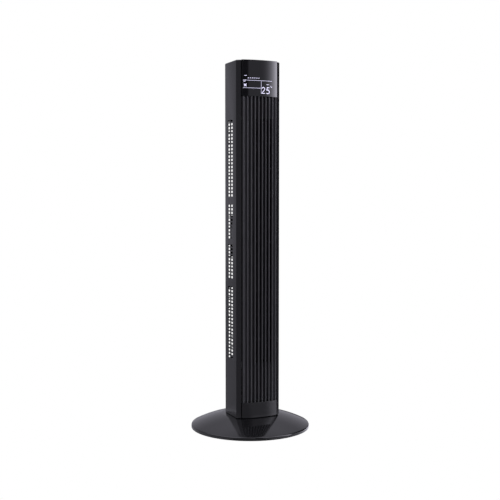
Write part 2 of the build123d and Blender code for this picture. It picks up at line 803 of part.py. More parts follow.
# ---- end plates: close the duct below and above, the lower one carries the motor
grommet_ring = 24.0
grommet_radius = 5.0
bearing_seat_radius = 15.0
for name, z, bore in (
    ("lower_end_plate", lower_plate_z, 7.0),
    ("upper_end_plate", upper_plate_z, bearing_seat_radius),
):
    with BuildPart() as plate:
        with BuildSketch(Plane.XY.offset(z)):
            add(tower_outline(skin + 0.4))
            with Locations((0, nose_y)):
                Rectangle(3 * side_x, 6, mode=Mode.SUBTRACT)
            with Locations((0, wheel_y)):
                Circle(bore, mode=Mode.SUBTRACT)
                if z == lower_plate_z:
                    with PolarLocations(grommet_ring, 3, start_angle=90):
                        Circle(grommet_radius, mode=Mode.SUBTRACT)
        extrude(amount=end_plate)
    save(plate.part, name)

# ---- upper bearing: sintered bush in a rubber ring
bearing_radius = 9.0
bearing_bottom_z = upper_plate_z - 3
bearing_height = end_plate + 6
with BuildPart() as bearing_ring:
    with BuildSketch(Plane.XY.offset(bearing_bottom_z)):
        with Locations((0, wheel_y)):
            Circle(bearing_seat_radius - 0.02)
            Circle(bearing_radius + 0.02, mode=Mode.SUBTRACT)
    extrude(amount=bearing_height)
save(bearing_ring.part, "bearing_rubber")

with BuildPart() as top_bearing:
    with BuildSketch(Plane.XY.offset(bearing_bottom_z)):
        with Locations((0, wheel_y)):
            Circle(bearing_radius)
            Circle(shaft_radius + running_clearance, mode=Mode.SUBTRACT)
    extrude(amount=bearing_height)
save(top_bearing.part, "upper_bearing")

# ================================================================ MOTOR
can_skin = 1.2
bush_hole_radius = 9.0
motor_screw_radius = 2.0

# ---- motor cans: two deep-drawn cups, one below and one above the core
for name, bottom, top, closed_z in (
    ("motor_can_lower", motor_bottom_z, core_bottom_z, motor_bottom_z),
    ("motor_can_upper", core_top_z, motor_top_z, motor_top_z - can_skin),
):
    with BuildPart() as can:
        with BuildSketch(Plane.XY.offset(bottom)):
            with Locations((0, wheel_y)):
                Circle(motor_radius)
                Circle(motor_radius - can_skin, mode=Mode.SUBTRACT)
        extrude(amount=top - bottom)
        with BuildSketch(Plane.XY.offset(closed_z)):
            with Locations((0, wheel_y)):
                Circle(motor_radius - can_skin / 2)
                Circle(bush_hole_radius + 0.02, mode=Mode.SUBTRACT)
                with PolarLocations(grommet_ring, 3, start_angle=90):
                    Circle(motor_screw_radius + 0.05, mode=Mode.SUBTRACT)
        extrude(amount=can_skin)
    save(can.part, name)

# ---- stator core: stack of steel sheets with eight slots round the rotor
rotor_radius = 15.0
slot_ring = 24.0
slot_count = 8
slot_length = 10.0
slot_width = 6.0
with BuildPart() as core:
    with BuildSketch(Plane.XY.offset(core_bottom_z)):
        with Locations((0, wheel_y)):
            Circle(motor_radius + 0.6)
            with PolarLocations(slot_ring, slot_count):
                Rectangle(slot_length, slot_width, mode=Mode.SUBTRACT)
            Circle(rotor_radius + 0.4, mode=Mode.SUBTRACT)
    extrude(amount=core_top_z - core_bottom_z)
save(core.part, "stator_core")

# ---- windings: copper rings at each end of the core, joined through its slots
winding_outer_radius = 30.0
winding_inner_radius = 19.0
winding_height = 6.0
with BuildPart() as windings:
    for z in (core_bottom_z - winding_height, core_top_z):
        with BuildSketch(Plane.XY.offset(z)):
            with Locations((0, wheel_y)):
                Circle(winding_outer_radius)
                Circle(winding_inner_radius, mode=Mode.SUBTRACT)
        extrude(amount=winding_height)
    with BuildSketch(Plane.XY.offset(core_bottom_z - 1)):
        with Locations((0, wheel_y)):
            with PolarLocations(slot_ring, slot_count):
                Rectangle(slot_length - 2 * gap, slot_width - 2 * gap)
    extrude(amount=core_top_z - core_bottom_z + 2)
save(windings.part, "stator_windings")

# ---- motor bushes: sintered bronze, one in each can
with BuildPart() as motor_bushes:
    for z in (motor_bottom_z - 1, motor_top_z - 7):
        with BuildSketch(Plane.XY.offset(z)):
            with Locations((0, wheel_y)):
                Circle(bush_hole_radius)
                Circle(shaft_radius + running_clearance, mode=Mode.SUBTRACT)
        extrude(amount=8)
save(motor_bushes.part, "motor_bushes")

# ---- grommets and screws: hang the motor from the lower end plate
grommet_bottom_z = motor_top_z
grommet_top_z = lower_plate_z + end_plate + 2
with BuildPart() as grommets:
    with BuildSketch(Plane.XY.offset(grommet_bottom_z)):
        with Locations((0, wheel_y)):
            with PolarLocations(grommet_ring, 3, start_angle=90):
                Circle(grommet_radius - 0.1)
                Circle(motor_screw_radius + 0.1, mode=Mode.SUBTRACT)
    extrude(amount=grommet_top_z - grommet_bottom_z)
save(grommets.part, "motor_grommets")

motor_screw = pan_screw(4.2, 2.4, motor_screw_radius, 14)
with BuildPart() as motor_screws:
    with Locations((0, wheel_y, grommet_top_z)):
        with PolarLocations(grommet_ring, 3, start_angle=90):
            add(motor_screw)
save(motor_screws.part, "motor_screws")

# ---- run capacitor: film capacitor standing on the tower floor
with BuildPart() as capacitor:
    with Locations((0, -40, floor_z + floor_skin + 0.2)):
        Box(38, 17, 27, align=(Align.CENTER, Align.CENTER, Align.MIN))
    fillet(capacitor.edges().filter_by(Axis.Z), 1.5)
save(capacitor.part, "run_capacitor")

# ---- swing motor: flat geared synchronous motor above the pinion
pinion_shaft_radius = 3.0
swing_can_radius = 21.0
swing_can_height = 17.0
ear_thickness = 1.6
ear_width = 9.0
with BuildPart() as swing_motor:
    with BuildSketch(Plane.XY.offset(swing_motor_z)):
        with Locations((0, pinion_y)):
            Circle(swing_can_radius)
    extrude(amount=swing_can_height)
    fillet(swing_motor.edges().filter_by(GeomType.CIRCLE), 1.2)
    with BuildSketch(Plane.XY.offset(swing_motor_z)):
        with Locations((0, pinion_y)):
            SlotOverall(2 * swing_ear_x + ear_width, ear_width)
        with Locations((-swing_ear_x, pinion_y), (swing_ear_x, pinion_y)):
            Circle(1.7, mode=Mode.SUBTRACT)
    extrude(amount=ear_thickness)
    with BuildSketch(Plane.XY.offset(swing_motor_z)):
        with Locations((0, pinion_y)):
            Circle(pinion_shaft_radius + running_clearance)
    extrude(amount=10, mode=Mode.SUBTRACT)
save(swing_motor.part, "swing_motor")

swing_screw = pan_screw(3.0, 2.0, 1.45, 9)
with BuildPart() as swing_screws:
    with Locations(
        (-swing_ear_x, pinion_y, swing_motor_z + ear_thickness),
        (swing_ear_x, pinion_y, swing_motor_z + ear_thickness),
    ):
        add(swing_screw)
save(swing_screws.part, "swing_motor_screws")

# ---- housing screws: deep in the four tubes, into the grille's posts
housing_screw = Rot(-90, 0, 0) * pan_screw(3.6, 2.4, 1.45, 22)
with BuildPart() as housing_screws:
    for post_z in screw_post_z:
        with Locations(
            (-screw_post_x, post_end_y + post_floor, post_z),
            (screw_post_x, post_end_y + post_floor, post_z),
        ):
            add(housing_screw)
save(housing_screws.part, "housing_screws")

# ---- cord gland: flanged sleeve in the back where the mains lead enters
gland_bore = 3.6
gland_flange_radius = 8.5
gland_flange_thickness = 2.2
gland_depth = 12.0
with BuildPart() as gland:
    with BuildSketch(Plane.XZ.offset(-rear_y - 0.1)):
        with Locations((0, gland_z)):
            Circle(gland_flange_radius)
    extrude(amount=-gland_flange_thickness)
    fillet(gland.edges().sort_by(Axis.Y)[-1], 0.8)
    with BuildSketch(Plane.XZ.offset(-rear_y - 0.1)):
        with Locations((0, gland_z)):
            Circle(gland_hole_radius - 0.1)
    extrude(amount=gland_depth)
    with BuildSketch(Plane.XZ.offset(-rear_y - 10)):
        with Locations((0, gland_z)):
            Circle(gland_bore)
    extrude(amount=40, mode=Mode.SUBTRACT)
save(gland.part, "cord_gland")

# ================================================================ FAN WHEEL
# ---- motor shaft: ground steel, through the rotor up into the wheel's hub
with BuildPart() as shaft:
    with BuildSketch(Plane.XY.offset(motor_bottom_z - 7)):
        with Locations((0, wheel_y)):
            Circle(shaft_radius)
    extrude(amount=wheel_bottom_z + 14 - motor_bottom_z + 7)
    chamfer(shaft.edges().filter_by(GeomType.CIRCLE), 0.5)
save(shaft.part, "motor_shaft")

# ---- motor rotor: laminated core on the shaft
with BuildPart() as rotor:
    with BuildSketch(Plane.XY.offset(core_bottom_z - 2)):
        with Locations((0, wheel_y)):
            Circle(rotor_radius)
            Circle(shaft_radius, mode=Mode.SUBTRACT)
    extrude(amount=core_top_z - core_bottom_z + 4)
save(rotor.part, "motor_rotor")

# ---- wheel hub: aluminium boss that drives the wheel
wheel_boss_radius = 10.0
with BuildPart() as hub:
    with BuildSketch(Plane.XY.offset(wheel_bottom_z - 10)):
        with Locations((0, wheel_y)):
            Circle(wheel_boss_radius)
            Circle(shaft_radius, mode=Mode.SUBTRACT)
    extrude(amount=wheel_disc + 12)
save(hub.part, "wheel_hub")

# ---- fan wheel: long drum of forward-curved blades between stiffening rings
blade_root = wheel_hub_radius + 1
blade_tip = wheel_radius - 0.4
blade_skin = 1.2
blade_sweep = 9.0               # degrees from root to tip
blade_bow = 1.5                 # degrees at half depth


def blade_point(r, angle):
    """Point at polar (r, angle in degrees) about the wheel's axis."""
    return (r * cos(radians(angle)), wheel_y + r * sin(radians(angle)))


blade_mid = (blade_root + blade_tip) / 2
skin_angle = degrees(asin(blade_skin / blade_mid))
with BuildPart() as wheel:
    with BuildSketch(Plane.XY.offset(wheel_bottom_z)):
        for index in range(blade_count):
            turn = 360 / blade_count * index
            with BuildLine():
                ThreePointArc(
                    blade_point(blade_root, turn),
                    blade_point(blade_mid, turn + blade_bow),
                    blade_point(blade_tip, turn + blade_sweep),
                )
                Line(
                    blade_point(blade_tip, turn + blade_sweep),
                    blade_point(blade_tip, turn + blade_sweep - skin_angle),
                )
                ThreePointArc(
                    blade_point(blade_tip, turn + blade_sweep - skin_angle),
                    blade_point(blade_mid, turn + blade_bow - skin_angle),
                    blade_point(blade_root, turn - skin_angle),
                )
                Line(blade_point(blade_root, turn - skin_angle), blade_point(blade_root, turn))
            make_face()
    extrude(amount=wheel_top_z - wheel_bottom_z)
    section = (wheel_top_z - wheel_bottom_z - wheel_disc) / wheel_sections
    for index in range(wheel_sections + 1):
        closed = index in (0, wheel_sections)
        with BuildSketch(Plane.XY.offset(wheel_bottom_z + index * section)):
            with Locations((0, wheel_y)):
                Circle(wheel_radius)
                Circle(wheel_boss_radius if closed else wheel_hub_radius, mode=Mode.SUBTRACT)
        extrude(amount=wheel_disc)
save(wheel.part, "fan_wheel")

# ---- stub shaft: pressed into the wheel's top disc, turns in the upper bearing
with BuildPart() as stub:
    with BuildSketch(Plane.XY.offset(wheel_top_z - wheel_disc)):
        with Locations((0, wheel_y)):
            Circle(wheel_boss_radius)
    extrude(amount=wheel_disc + 2)
    with BuildSketch(Plane.XY.offset(wheel_top_z)):
        with Locations((0, wheel_y)):
            Circle(shaft_radius)
    extrude(amount=bearing_bottom_z + bearing_height + 3 - wheel_top_z)
save(stub.part, "stub_shaft")

# ================================================================ SWING PINION
# a tooth of the fixed gear points at the pinion, so the pinion shows it a gap
with BuildPart() as pinion:
    with BuildSketch(Plane.XY.offset(gear_bottom_z + 0.2)):
        with Locations((0, pinion_y)):
            add(gear_outline(pinion_teeth, 90 + 180 / pinion_teeth))
    extrude(amount=gear_width - 0.4)
    with BuildSketch(Plane.XY.offset(gear_bottom_z + 0.2)):
        with Locations((0, pinion_y)):
            Circle(pinion_shaft_radius)
    extrude(amount=swing_motor_z + 8 - gear_bottom_z)
save(pinion.part, "swing_pinion")
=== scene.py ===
"""Tower fan: the finished look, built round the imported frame. Metres, +Z up, front towards -Y."""
import math

import bmesh
import bpy
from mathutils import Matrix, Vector


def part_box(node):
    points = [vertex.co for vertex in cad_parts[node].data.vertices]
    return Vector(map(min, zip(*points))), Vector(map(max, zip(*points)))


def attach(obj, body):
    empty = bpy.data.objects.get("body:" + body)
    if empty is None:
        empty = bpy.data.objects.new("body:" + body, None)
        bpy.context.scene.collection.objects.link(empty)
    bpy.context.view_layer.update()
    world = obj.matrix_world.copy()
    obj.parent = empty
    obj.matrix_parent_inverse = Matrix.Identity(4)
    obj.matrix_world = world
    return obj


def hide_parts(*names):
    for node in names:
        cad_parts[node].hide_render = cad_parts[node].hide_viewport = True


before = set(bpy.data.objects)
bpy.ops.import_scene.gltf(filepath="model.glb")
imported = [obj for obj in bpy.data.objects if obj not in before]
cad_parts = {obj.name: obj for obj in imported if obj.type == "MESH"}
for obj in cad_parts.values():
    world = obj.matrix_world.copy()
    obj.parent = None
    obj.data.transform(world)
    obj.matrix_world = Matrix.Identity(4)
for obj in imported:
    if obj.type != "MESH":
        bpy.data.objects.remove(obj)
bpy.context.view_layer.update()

# ------------------------------------------------------------------ camera
# A long portrait lens stands two and a half metres off, at hip height and a little to the left
# of the fan's front, and tips down slightly to take in the whole fan.
camera_distance = 2.531
camera_height = 0.641
camera_turn = math.radians(23.25)
camera_tilt = math.radians(3.389)
camera_data = bpy.data.cameras.new("camera")
camera_data.lens = 66.21
camera_data.sensor_width = 36.0
camera_data.shift_x = -0.0003
camera_data.clip_end = 50
camera = bpy.data.objects.new("camera", camera_data)
camera.location = (
    -math.sin(camera_turn) * camera_distance,
    -math.cos(camera_turn) * camera_distance,
    camera_height,
)
camera.rotation_euler = (math.pi / 2 - camera_tilt, 0, -camera_turn)
bpy.context.scene.collection.objects.link(camera)
bpy.context.scene.camera = camera
bpy.context.scene.view_settings.view_transform = "Standard"


# ------------------------------------------------------------------ studio
# A white sweep with grey walls round it, one tall soft lamp on the right, a box overhead on each
# side and a dark gap where the camera stands. The fan is glossy and nearly black, so it shows
# these more than itself.
class Value:
    """One output of a node. Maths on it adds Math nodes to the same tree."""

    def __init__(self, tree, node, output):
        self.tree = tree
        self.node = node
        self.socket = node.outputs[output]

    def math(self, operation, *values):
        inputs = dict(enumerate((self, *values)))
        return self.tree.add("ShaderNodeMath", {"operation": operation}, inputs)

    def other(self, output):
        return Value(self.tree, self.node, output)

    def __add__(self, value):
        return self.math("ADD", value)

    def __sub__(self, value):
        return self.math("SUBTRACT", value)

    def __rsub__(self, value):
        return self.math("MULTIPLY_ADD", -1.0, value)

    def __mul__(self, value):
        return self.math("MULTIPLY", value)

    def __truediv__(self, value):
        return self.math("DIVIDE", value)

    __radd__ = __add__
    __rmul__ = __mul__


class Tree:
    """A shader tree that is filled by expressions."""

    def __init__(self, owner):
        owner.use_nodes = True
        self.nodes = owner.node_tree.nodes
        self.links = owner.node_tree.links

    def add(self, kind, settings=None, inputs=None, output=0):
        """A new node: its settings or ramp stops first, then the values or links of its sockets."""
        node = self.nodes.new(kind)
        for name, value in (settings or {}).items():
            if name == "stops":
                ramp = node.color_ramp
                while len(ramp.elements) < len(value):
                    ramp.elements.new(1.0)
                for element, (place, colour) in zip(ramp.elements, value):
                    element.position = place
                    element.color = colour
            else:
                setattr(node, name, value)
        for name, value in (inputs or {}).items():
            if isinstance(value, Value):
                self.links.new(value.socket, node.inputs[name])
            else:
                node.inputs[name].default_value = value
        return Value(self, node, output) if node.outputs else node

    def band(self, angle, low, high, soft, slow=None):
        """1 between low and high, fading to 0 over `soft` on each side, or `slow` on the lower one."""
        fade = {"interpolation_type": "SMOOTHSTEP"}
        rise = self.add("ShaderNodeMapRange", fade, {0: angle, 1: low - (slow or soft), 2: low})
        fall = self.add("ShaderNodeMapRange", fade, {0: angle, 1: high, 2: high + soft})
        return rise * (1 - fall)


world = bpy.data.worlds.new("studio")
bpy.context.scene.world = world
sky = Tree(world)
sky.nodes.clear()
gaze = sky.add("ShaderNodeTexCoord", output="Generated")
to_right = sky.add("ShaderNodeSeparateXYZ", inputs={0: gaze})
to_front = to_right.other("Y") * -1
azimuth = to_right.math("ARCTAN2", to_front).math("DEGREES")
elevation = to_right.other("Z").math("ARCSINE").math("DEGREES")
walls = 0.47 - 0.17 * sky.band(azimuth, -95, -28, 14)
camera_gap = 1 - 0.88 * sky.band(azimuth, -10, 0, 4)
right_gap = 1 - 0.9 * sky.band(azimuth, 84, 112, 6)
low_flag = 1 - 0.85 * sky.band(azimuth, 80, 126, 6) * sky.band(elevation, -90, 9, 3)
lamp_rise = sky.add("ShaderNodeMapRange", inputs={0: azimuth, 1: 18, 2: 55}).math("POWER", 3.5)
lamp_height = sky.band(elevation, 3, 10, 4) + 0.35 * sky.band(elevation, 14, 56, 5)
soft_lamp = 7.7 * lamp_rise * sky.band(azimuth, 18, 60, 5) * lamp_height
ceiling = 0.32 * sky.band(elevation, 55, 90, 25)
side_boxes = sky.band(azimuth, -125, -54, 8) + sky.band(azimuth, 14, 70, 8)
box_height = sky.band(elevation, 32, 78, 8)
glow = walls * camera_gap * right_gap * low_flag + soft_lamp + ceiling + side_boxes * box_height
seen = sky.add("ShaderNodeLightPath", output="Is Camera Ray")
white_sky = sky.add("ShaderNodeBackground", inputs={"Strength": 1.0, "Color": (1, 1, 1, 1)})
room_sky = sky.add("ShaderNodeBackground", inputs={"Strength": glow, "Color": (1.0, 0.98, 1.11, 1)})
sky_mix = sky.add("ShaderNodeMixShader", inputs={0: seen, 1: room_sky, 2: white_sky})
sky.add("ShaderNodeOutputWorld", inputs={"Surface": sky_mix})

floor_mesh = bpy.data.meshes.new("floor")
floor_half = 6.0
floor_mesh.from_pydata(
    [(x * floor_half, y * floor_half, 0) for x, y in ((-1, -1), (1, -1), (1, 1), (-1, 1))],
    [],
    [(0, 1, 2, 3)],
)
floor = bpy.data.objects.new("floor", floor_mesh)
bpy.context.scene.collection.objects.link(floor)
floor_material = bpy.data.materials.new("floor_white")
sweep = Tree(floor_material)
sweep.nodes.clear()
floor_place = sweep.add("ShaderNodeTexCoord", output="Object")
spot_on_floor = sweep.add("ShaderNodeSeparateXYZ", inputs={0: floor_place})
floor_front = spot_on_floor.other("Y") * -1
floor_azimuth = spot_on_floor.math("ARCTAN2", floor_front).math("DEGREES")
floor_radius = (spot_on_floor * spot_on_floor + floor_front * floor_front).math("SQRT")
# The floor's colour for light bouncing off it onto the fan (the camera sees it plain white) carries painted
# light and shade: lighter towards the lamp, darker round to the right and behind, and painted pools of light
# round the base's rim and near the fan on the lamp side.
lit_side = 0.14 * sweep.band(floor_azimuth, 5, 66, 5, 12)
lit_side = lit_side + 0.2 * sweep.band(floor_azimuth, 52, 66, 5, 20)
flagged_side = 0.24 * sweep.band(floor_azimuth, 84, 140, 8)
off_camera = 1 - sweep.band(floor_azimuth, -36, -10, 14)
painted_light_near_rim = 0.4 * sweep.band(floor_radius, -1, 0.22, 0.05) * off_camera
lamp_side = sweep.band(floor_azimuth, 50, 66, 5, 24)
painted_light_patch = 0.9 * lamp_side * sweep.band(floor_radius, -1, 0.7, 0.15)
paper_with_painted_light = 0.29 + lit_side - flagged_side + painted_light_near_rim + painted_light_patch
paper_colour = sweep.add("ShaderNodeCombineXYZ", inputs=dict.fromkeys(range(3), paper_with_painted_light))
paper = sweep.add("ShaderNodeBsdfDiffuse", inputs={"Color": paper_colour})
lit_paper = sweep.add("ShaderNodeEmission", inputs={"Strength": 1.0})
direct = sweep.add("ShaderNodeLightPath", output="Is Camera Ray")
paper_mix = sweep.add("ShaderNodeMixShader", inputs={0: direct, 1: paper, 2: lit_paper})
sweep.add("ShaderNodeOutputMaterial", inputs={"Surface": paper_mix})
floor_mesh.materials.append(floor_material)


# ------------------------------------------------------------------ base cover
# One injection-moulded dome of high-gloss black ABS, with an upright rim and a soft shoulder.
# It shows fine polishing haze, a little dust and the faint ripple of a large moulding.
def surface(name):
    """A new material with its Principled shader; returns the tree, the shader and the position."""
    material = bpy.data.materials.new(name)
    tree = Tree(material)
    shader = tree.nodes["Principled BSDF"]
    place = tree.add("ShaderNodeTexCoord", output="Object")
    return material, tree, shader, place


def noise(tree, place, scale, detail=3.0, stretch=(1, 1, 1), rough=0.5):
    """Even noise, 0 to 1, at `scale` grains per metre, drawn out by `stretch`."""
    stretched = tree.add("ShaderNodeMapping", inputs={"Vector": place, "Scale": stretch})
    settings = {"noise_dimensions": "3D"}
    inputs = {"Vector": stretched, "Scale": scale, "Detail": detail, "Roughness": rough}
    return tree.add("ShaderNodeTexNoise", settings, inputs)


def tint(tree, factor, low, high):
    """Colour from low to high as factor goes from 0 to 1."""
    inputs = {"Factor": factor, 6: (*low, 1), 7: (*high, 1)}
    return tree.add("ShaderNodeMix", {"data_type": "RGBA"}, inputs, output=2)


def relief(tree, height):
    """The bumped normal of a height in metres."""
    return tree.add("ShaderNodeBump", inputs={"Strength": 1.0, "Distance": 1.0, "Height": height})


def feed(tree, shader, name, value):
    """Link or set one socket of the Principled shader."""
    if isinstance(value, Value):
        tree.links.new(value.socket, shader.inputs[name])
    else:
        shader.inputs[name].default_value = value


def plastic(
    name, colour, roughness, grain=0.0, grain_scale=2500.0, ripple=0.0, dust=0.02, scuffs=0.05, shade=None,
):
    """Moulded plastic: tinted colour, uneven gloss, fine grain, slow ripple, scuffs and dust.

    `shade` may give a mask of painted shade for the colour: 0 paints it near black, 1 leaves it alone.
    """
    material, tree, shader, place = surface(name)
    cloud = noise(tree, place, 14, 4)
    specks = noise(tree, place, 900, 2)
    dusty = tree.add("ShaderNodeMapRange", inputs={0: specks * 0.6 + cloud * 0.4, 1: 0.56, 2: 0.72})
    darker = [0.86 * part for part in colour]
    lighter = [min(1.0, 1.12 * part) for part in colour]
    body = tint(tree, cloud, darker, lighter)
    if shade:
        # Painted shade: the colour is darkened to near black where the shade mask is 0.
        body = tree.add("ShaderNodeMix", {"data_type": "RGBA"}, {
            "Factor": shade(tree, place), 6: (0.003, 0.003, 0.003, 1), 7: body,
        }, output=2)
    powdered = tree.add("ShaderNodeMix", {"data_type": "RGBA"}, {
        "Factor": dusty * dust, 6: body, 7: (0.32, 0.31, 0.30, 1),
    }, output=2)
    feed(tree, shader, "Base Color", powdered)
    hairs = noise(tree, place, 60, 5, (1, 1, 18), 0.7)
    scuffed = tree.add("ShaderNodeMapRange", inputs={0: hairs, 1: 0.58, 2: 0.74})
    uneven = 0.05 * (cloud - 0.5) + scuffs * scuffed + 0.25 * dust * dusty
    feed(tree, shader, "Roughness", uneven + roughness)
    fine = noise(tree, place, grain_scale, 2)
    slow = noise(tree, place, 9, 1)
    feed(tree, shader, "Normal", relief(tree, grain * fine + ripple * slow))
    return material


def shown(name, mesh, body, slot, material, *replaced):
    """Put a finished mesh on its body with its material, and hide the nodes it stands for. The slot is not
    used.
    """
    piece = bpy.data.objects.new(name, mesh)
    bpy.context.scene.collection.objects.link(piece)
    if material.name not in mesh.materials:
        mesh.materials.append(material)
    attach(piece, body)
    if replaced:
        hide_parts(*replaced)
    return piece


def smooth(mesh, degrees_sharp=32):
    """Round faces shade smooth, edges sharper than the angle stay crisp."""
    mesh.shade_smooth()
    mesh.set_sharp_from_angle(angle=math.radians(degrees_sharp))


def bevel(piece, width, segments=2):
    """A small moulded radius on every crisp edge."""
    cut = piece.modifiers.new("edge", "BEVEL")
    cut.width = width
    cut.segments = segments
    cut.limit_method = "ANGLE"
    cut.angle_limit = math.radians(32)
    cut.harden_normals = True


def wheel_of(form, radius, height, segments):
    """A ring of vertices round the Z axis."""
    ring = []
    for index in range(segments):
        angle = 2 * math.pi * index / segments
        ring.append(form.verts.new((radius * math.cos(angle), radius * math.sin(angle), height)))
    return ring


def sleeve(form, near, far):
    """Faces all the way round between two closed rows of vertices."""
    for index in range(len(near)):
        beyond = (index + 1) % len(near)
        form.faces.new((near[index], near[beyond], far[beyond], far[index]))


def meshed(name, form, sharp=32):
    """Close off a bmesh into a mesh with outward normals, its round faces smooth."""
    bmesh.ops.recalc_face_normals(form, faces=form.faces)
    mesh = bpy.data.meshes.new(name)
    form.to_mesh(mesh)
    form.free()
    smooth(mesh, sharp)
    return mesh


cover_low, cover_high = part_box("base_cover")
base_radius = cover_high.x
base_top = cover_high.z
base_bottom = cover_low.z
rim_top = 0.009
dome_radius = 0.373
cover_skin = 0.0025
cover_hole = 0.024
dome_centre = rim_top - math.sqrt(dome_radius**2 - base_radius**2)


def dome_height(radius, skin=0.0):
    """Height of the dome's outer face, or of a face `skin` below it."""
    return dome_centre + math.sqrt((dome_radius - skin)**2 - radius**2)


shoulder = 0.005
shoulder_turn = math.radians(64.6)
shoulder_foot = rim_top - 0.632 * shoulder
shoulder_steps = 9
foot_edge = 0.0006
hole_edge = 0.0008
profile = [
    (base_radius - foot_edge, base_bottom),
    (base_radius, base_bottom + foot_edge),
    (base_radius, shoulder_foot),
]
for step in range(1, shoulder_steps):
    swing = step / shoulder_steps * shoulder_turn
    profile.append((
        base_radius - shoulder + shoulder * math.cos(swing),
        shoulder_foot + shoulder * math.sin(swing),
    ))
flat_radius = math.sqrt(dome_radius**2 - (base_top - dome_centre)**2)
dome_steps = 40
dome_start = base_radius - shoulder * (1 - math.cos(shoulder_turn))
for step in range(dome_steps + 1):
    radius = dome_start + (flat_radius - dome_start) * step / dome_steps
    profile.append((radius, dome_height(radius)))
profile += [
    (cover_hole + hole_edge, base_top),
    (cover_hole, base_top - hole_edge),
    (cover_hole, base_top - cover_skin),
]
inner_steps = 8
for step in range(inner_steps + 1):
    radius = flat_radius + (base_radius - cover_skin - flat_radius) * step / inner_steps
    profile.append((radius, dome_height(radius, cover_skin)))
profile.append((base_radius - cover_skin, base_bottom))
base_gloss = plastic(
    "base_gloss", (0.007, 0.007, 0.0075), 0.10,
    grain=0.0000012, grain_scale=700, ripple=0.00004, dust=0.03, scuffs=0.07,
)
cover_form = bmesh.new()
cover_rings = [wheel_of(cover_form, radius, height, 288) for radius, height in profile]
for ring, following in zip(cover_rings, cover_rings[1:] + cover_rings[:1]):
    sleeve(cover_form, ring, following)
cover_mesh = meshed("base_cover_moulding", cover_form, 40)
shown("base_cover_moulding", cover_mesh, "base", "base_gloss", base_gloss, "base_cover")


# ------------------------------------------------------------------ base plate, feet and ballast
# The floor of the base is plain black moulding, the ballast a raw iron casting,
# and the fan stands on six moulded rubber pads.
def dress(material, *nodes):
    """Give carried-over nodes their material."""
    for node in nodes:
        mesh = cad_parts[node].data
        mesh.materials.clear()
        mesh.materials.append(material)


def metal(name, colour, roughness, line_scale, lines=(1, 1, 1), bump=0.00001, stain=0.15):
    """Worked metal: drawn or turned lines in the gloss, a little stain in the colour."""
    material, tree, shader, place = surface(name)
    streaks = noise(tree, place, line_scale, 3, lines, 0.6)
    cloud = noise(tree, place, 35, 4)
    dull = [(1 - stain) * part for part in colour]
    feed(tree, shader, "Base Color", tint(tree, cloud, dull, colour))
    feed(tree, shader, "Metallic", 1.0)
    feed(tree, shader, "Roughness", roughness + 0.12 * (streaks - 0.5) + 0.1 * cloud)
    feed(tree, shader, "Normal", relief(tree, bump * streaks))
    return material


rubber = plastic(
    "rubber_black", (0.016, 0.016, 0.016), 0.72, grain=0.00002, grain_scale=1800, dust=0.12, scuffs=0.1,
)
underside = plastic("underside_black", (0.02, 0.02, 0.021), 0.5, grain=0.00001, grain_scale=1500, dust=0.08)
cast_iron = metal("cast_iron", (0.20, 0.195, 0.19), 0.62, 420, bump=0.00012, stain=0.35)
dress(rubber, "rubber_feet", "bearing_rubber", "motor_grommets")
dress(underside, "base_plate")
dress(cast_iron, "ballast_ring")

# ------------------------------------------------------------------ swivel
# A turned steel post stands in the base, with white acetal running parts round it and
# a spring-steel clip on top. The pinion under the swing motor walks round the fixed gear.
turned_steel = metal("turned_steel", (0.56, 0.56, 0.57), 0.28, 260, (1, 1, 14))
zinc_steel = metal("zinc_steel", (0.62, 0.62, 0.64), 0.34, 900)
acetal = plastic("acetal_white", (0.78, 0.77, 0.74), 0.38, grain=0.000002, dust=0.01)
dress(turned_steel, "swivel_spindle", "motor_shaft", "stub_shaft")
dress(acetal, "thrust_washer", "swivel_bush", "swing_gear", "swing_pinion")
dress(zinc_steel, "spindle_circlip")


# ------------------------------------------------------------------ screws
# Zinc-plated pan heads with a cross recess hold the base plate, the spindle, the motor and the
# grille, each left at the angle where its driver stopped.
def gn_tree(name):
    """An empty Geometry Nodes tree with a mesh in and a mesh out."""
    tree = bpy.data.node_groups.new(name, "GeometryNodeTree")
    tree.interface.new_socket("Geometry", in_out="INPUT", socket_type="NodeSocketGeometry")
    tree.interface.new_socket("Geometry", in_out="OUTPUT", socket_type="NodeSocketGeometry")
    return tree, tree.nodes.new("NodeGroupInput"), tree.nodes.new("NodeGroupOutput")


def gn_input(tree, name, kind, value=None):
    """A named input of the tree."""
    socket = tree.interface.new_socket(name, in_out="INPUT", socket_type=kind)
    if value is not None:
        socket.default_value = value
    return socket.identifier


def gn_node(tree, kind, settings=None, inputs=None):
    """A node of the tree, with its settings, then its values or links."""
    node = tree.nodes.new(kind)
    for name, value in (settings or {}).items():
        setattr(node, name, value)
    for name, value in (inputs or {}).items():
        if isinstance(value, bpy.types.NodeSocket):
            tree.links.new(value, node.inputs[name])
        else:
            node.inputs[name].default_value = value
    return node


def grown(name, guide, tree, values):
    """The plain mesh that the tree makes on the guide mesh, with its inputs set by identifier."""
    holder = bpy.data.objects.new(name + "_guide", guide)
    bpy.context.scene.collection.objects.link(holder)
    modifier = holder.modifiers.new("grow", "NODES")
    modifier.node_group = tree
    for identifier, value in values.items():
        modifier[identifier] = value
    holder.update_tag()
    evaluated = holder.evaluated_get(bpy.context.evaluated_depsgraph_get())
    mesh = bpy.data.meshes.new_from_object(evaluated)
    mesh.name = name
    holder.modifiers.remove(modifier)
    bpy.data.objects.remove(holder)
    return mesh


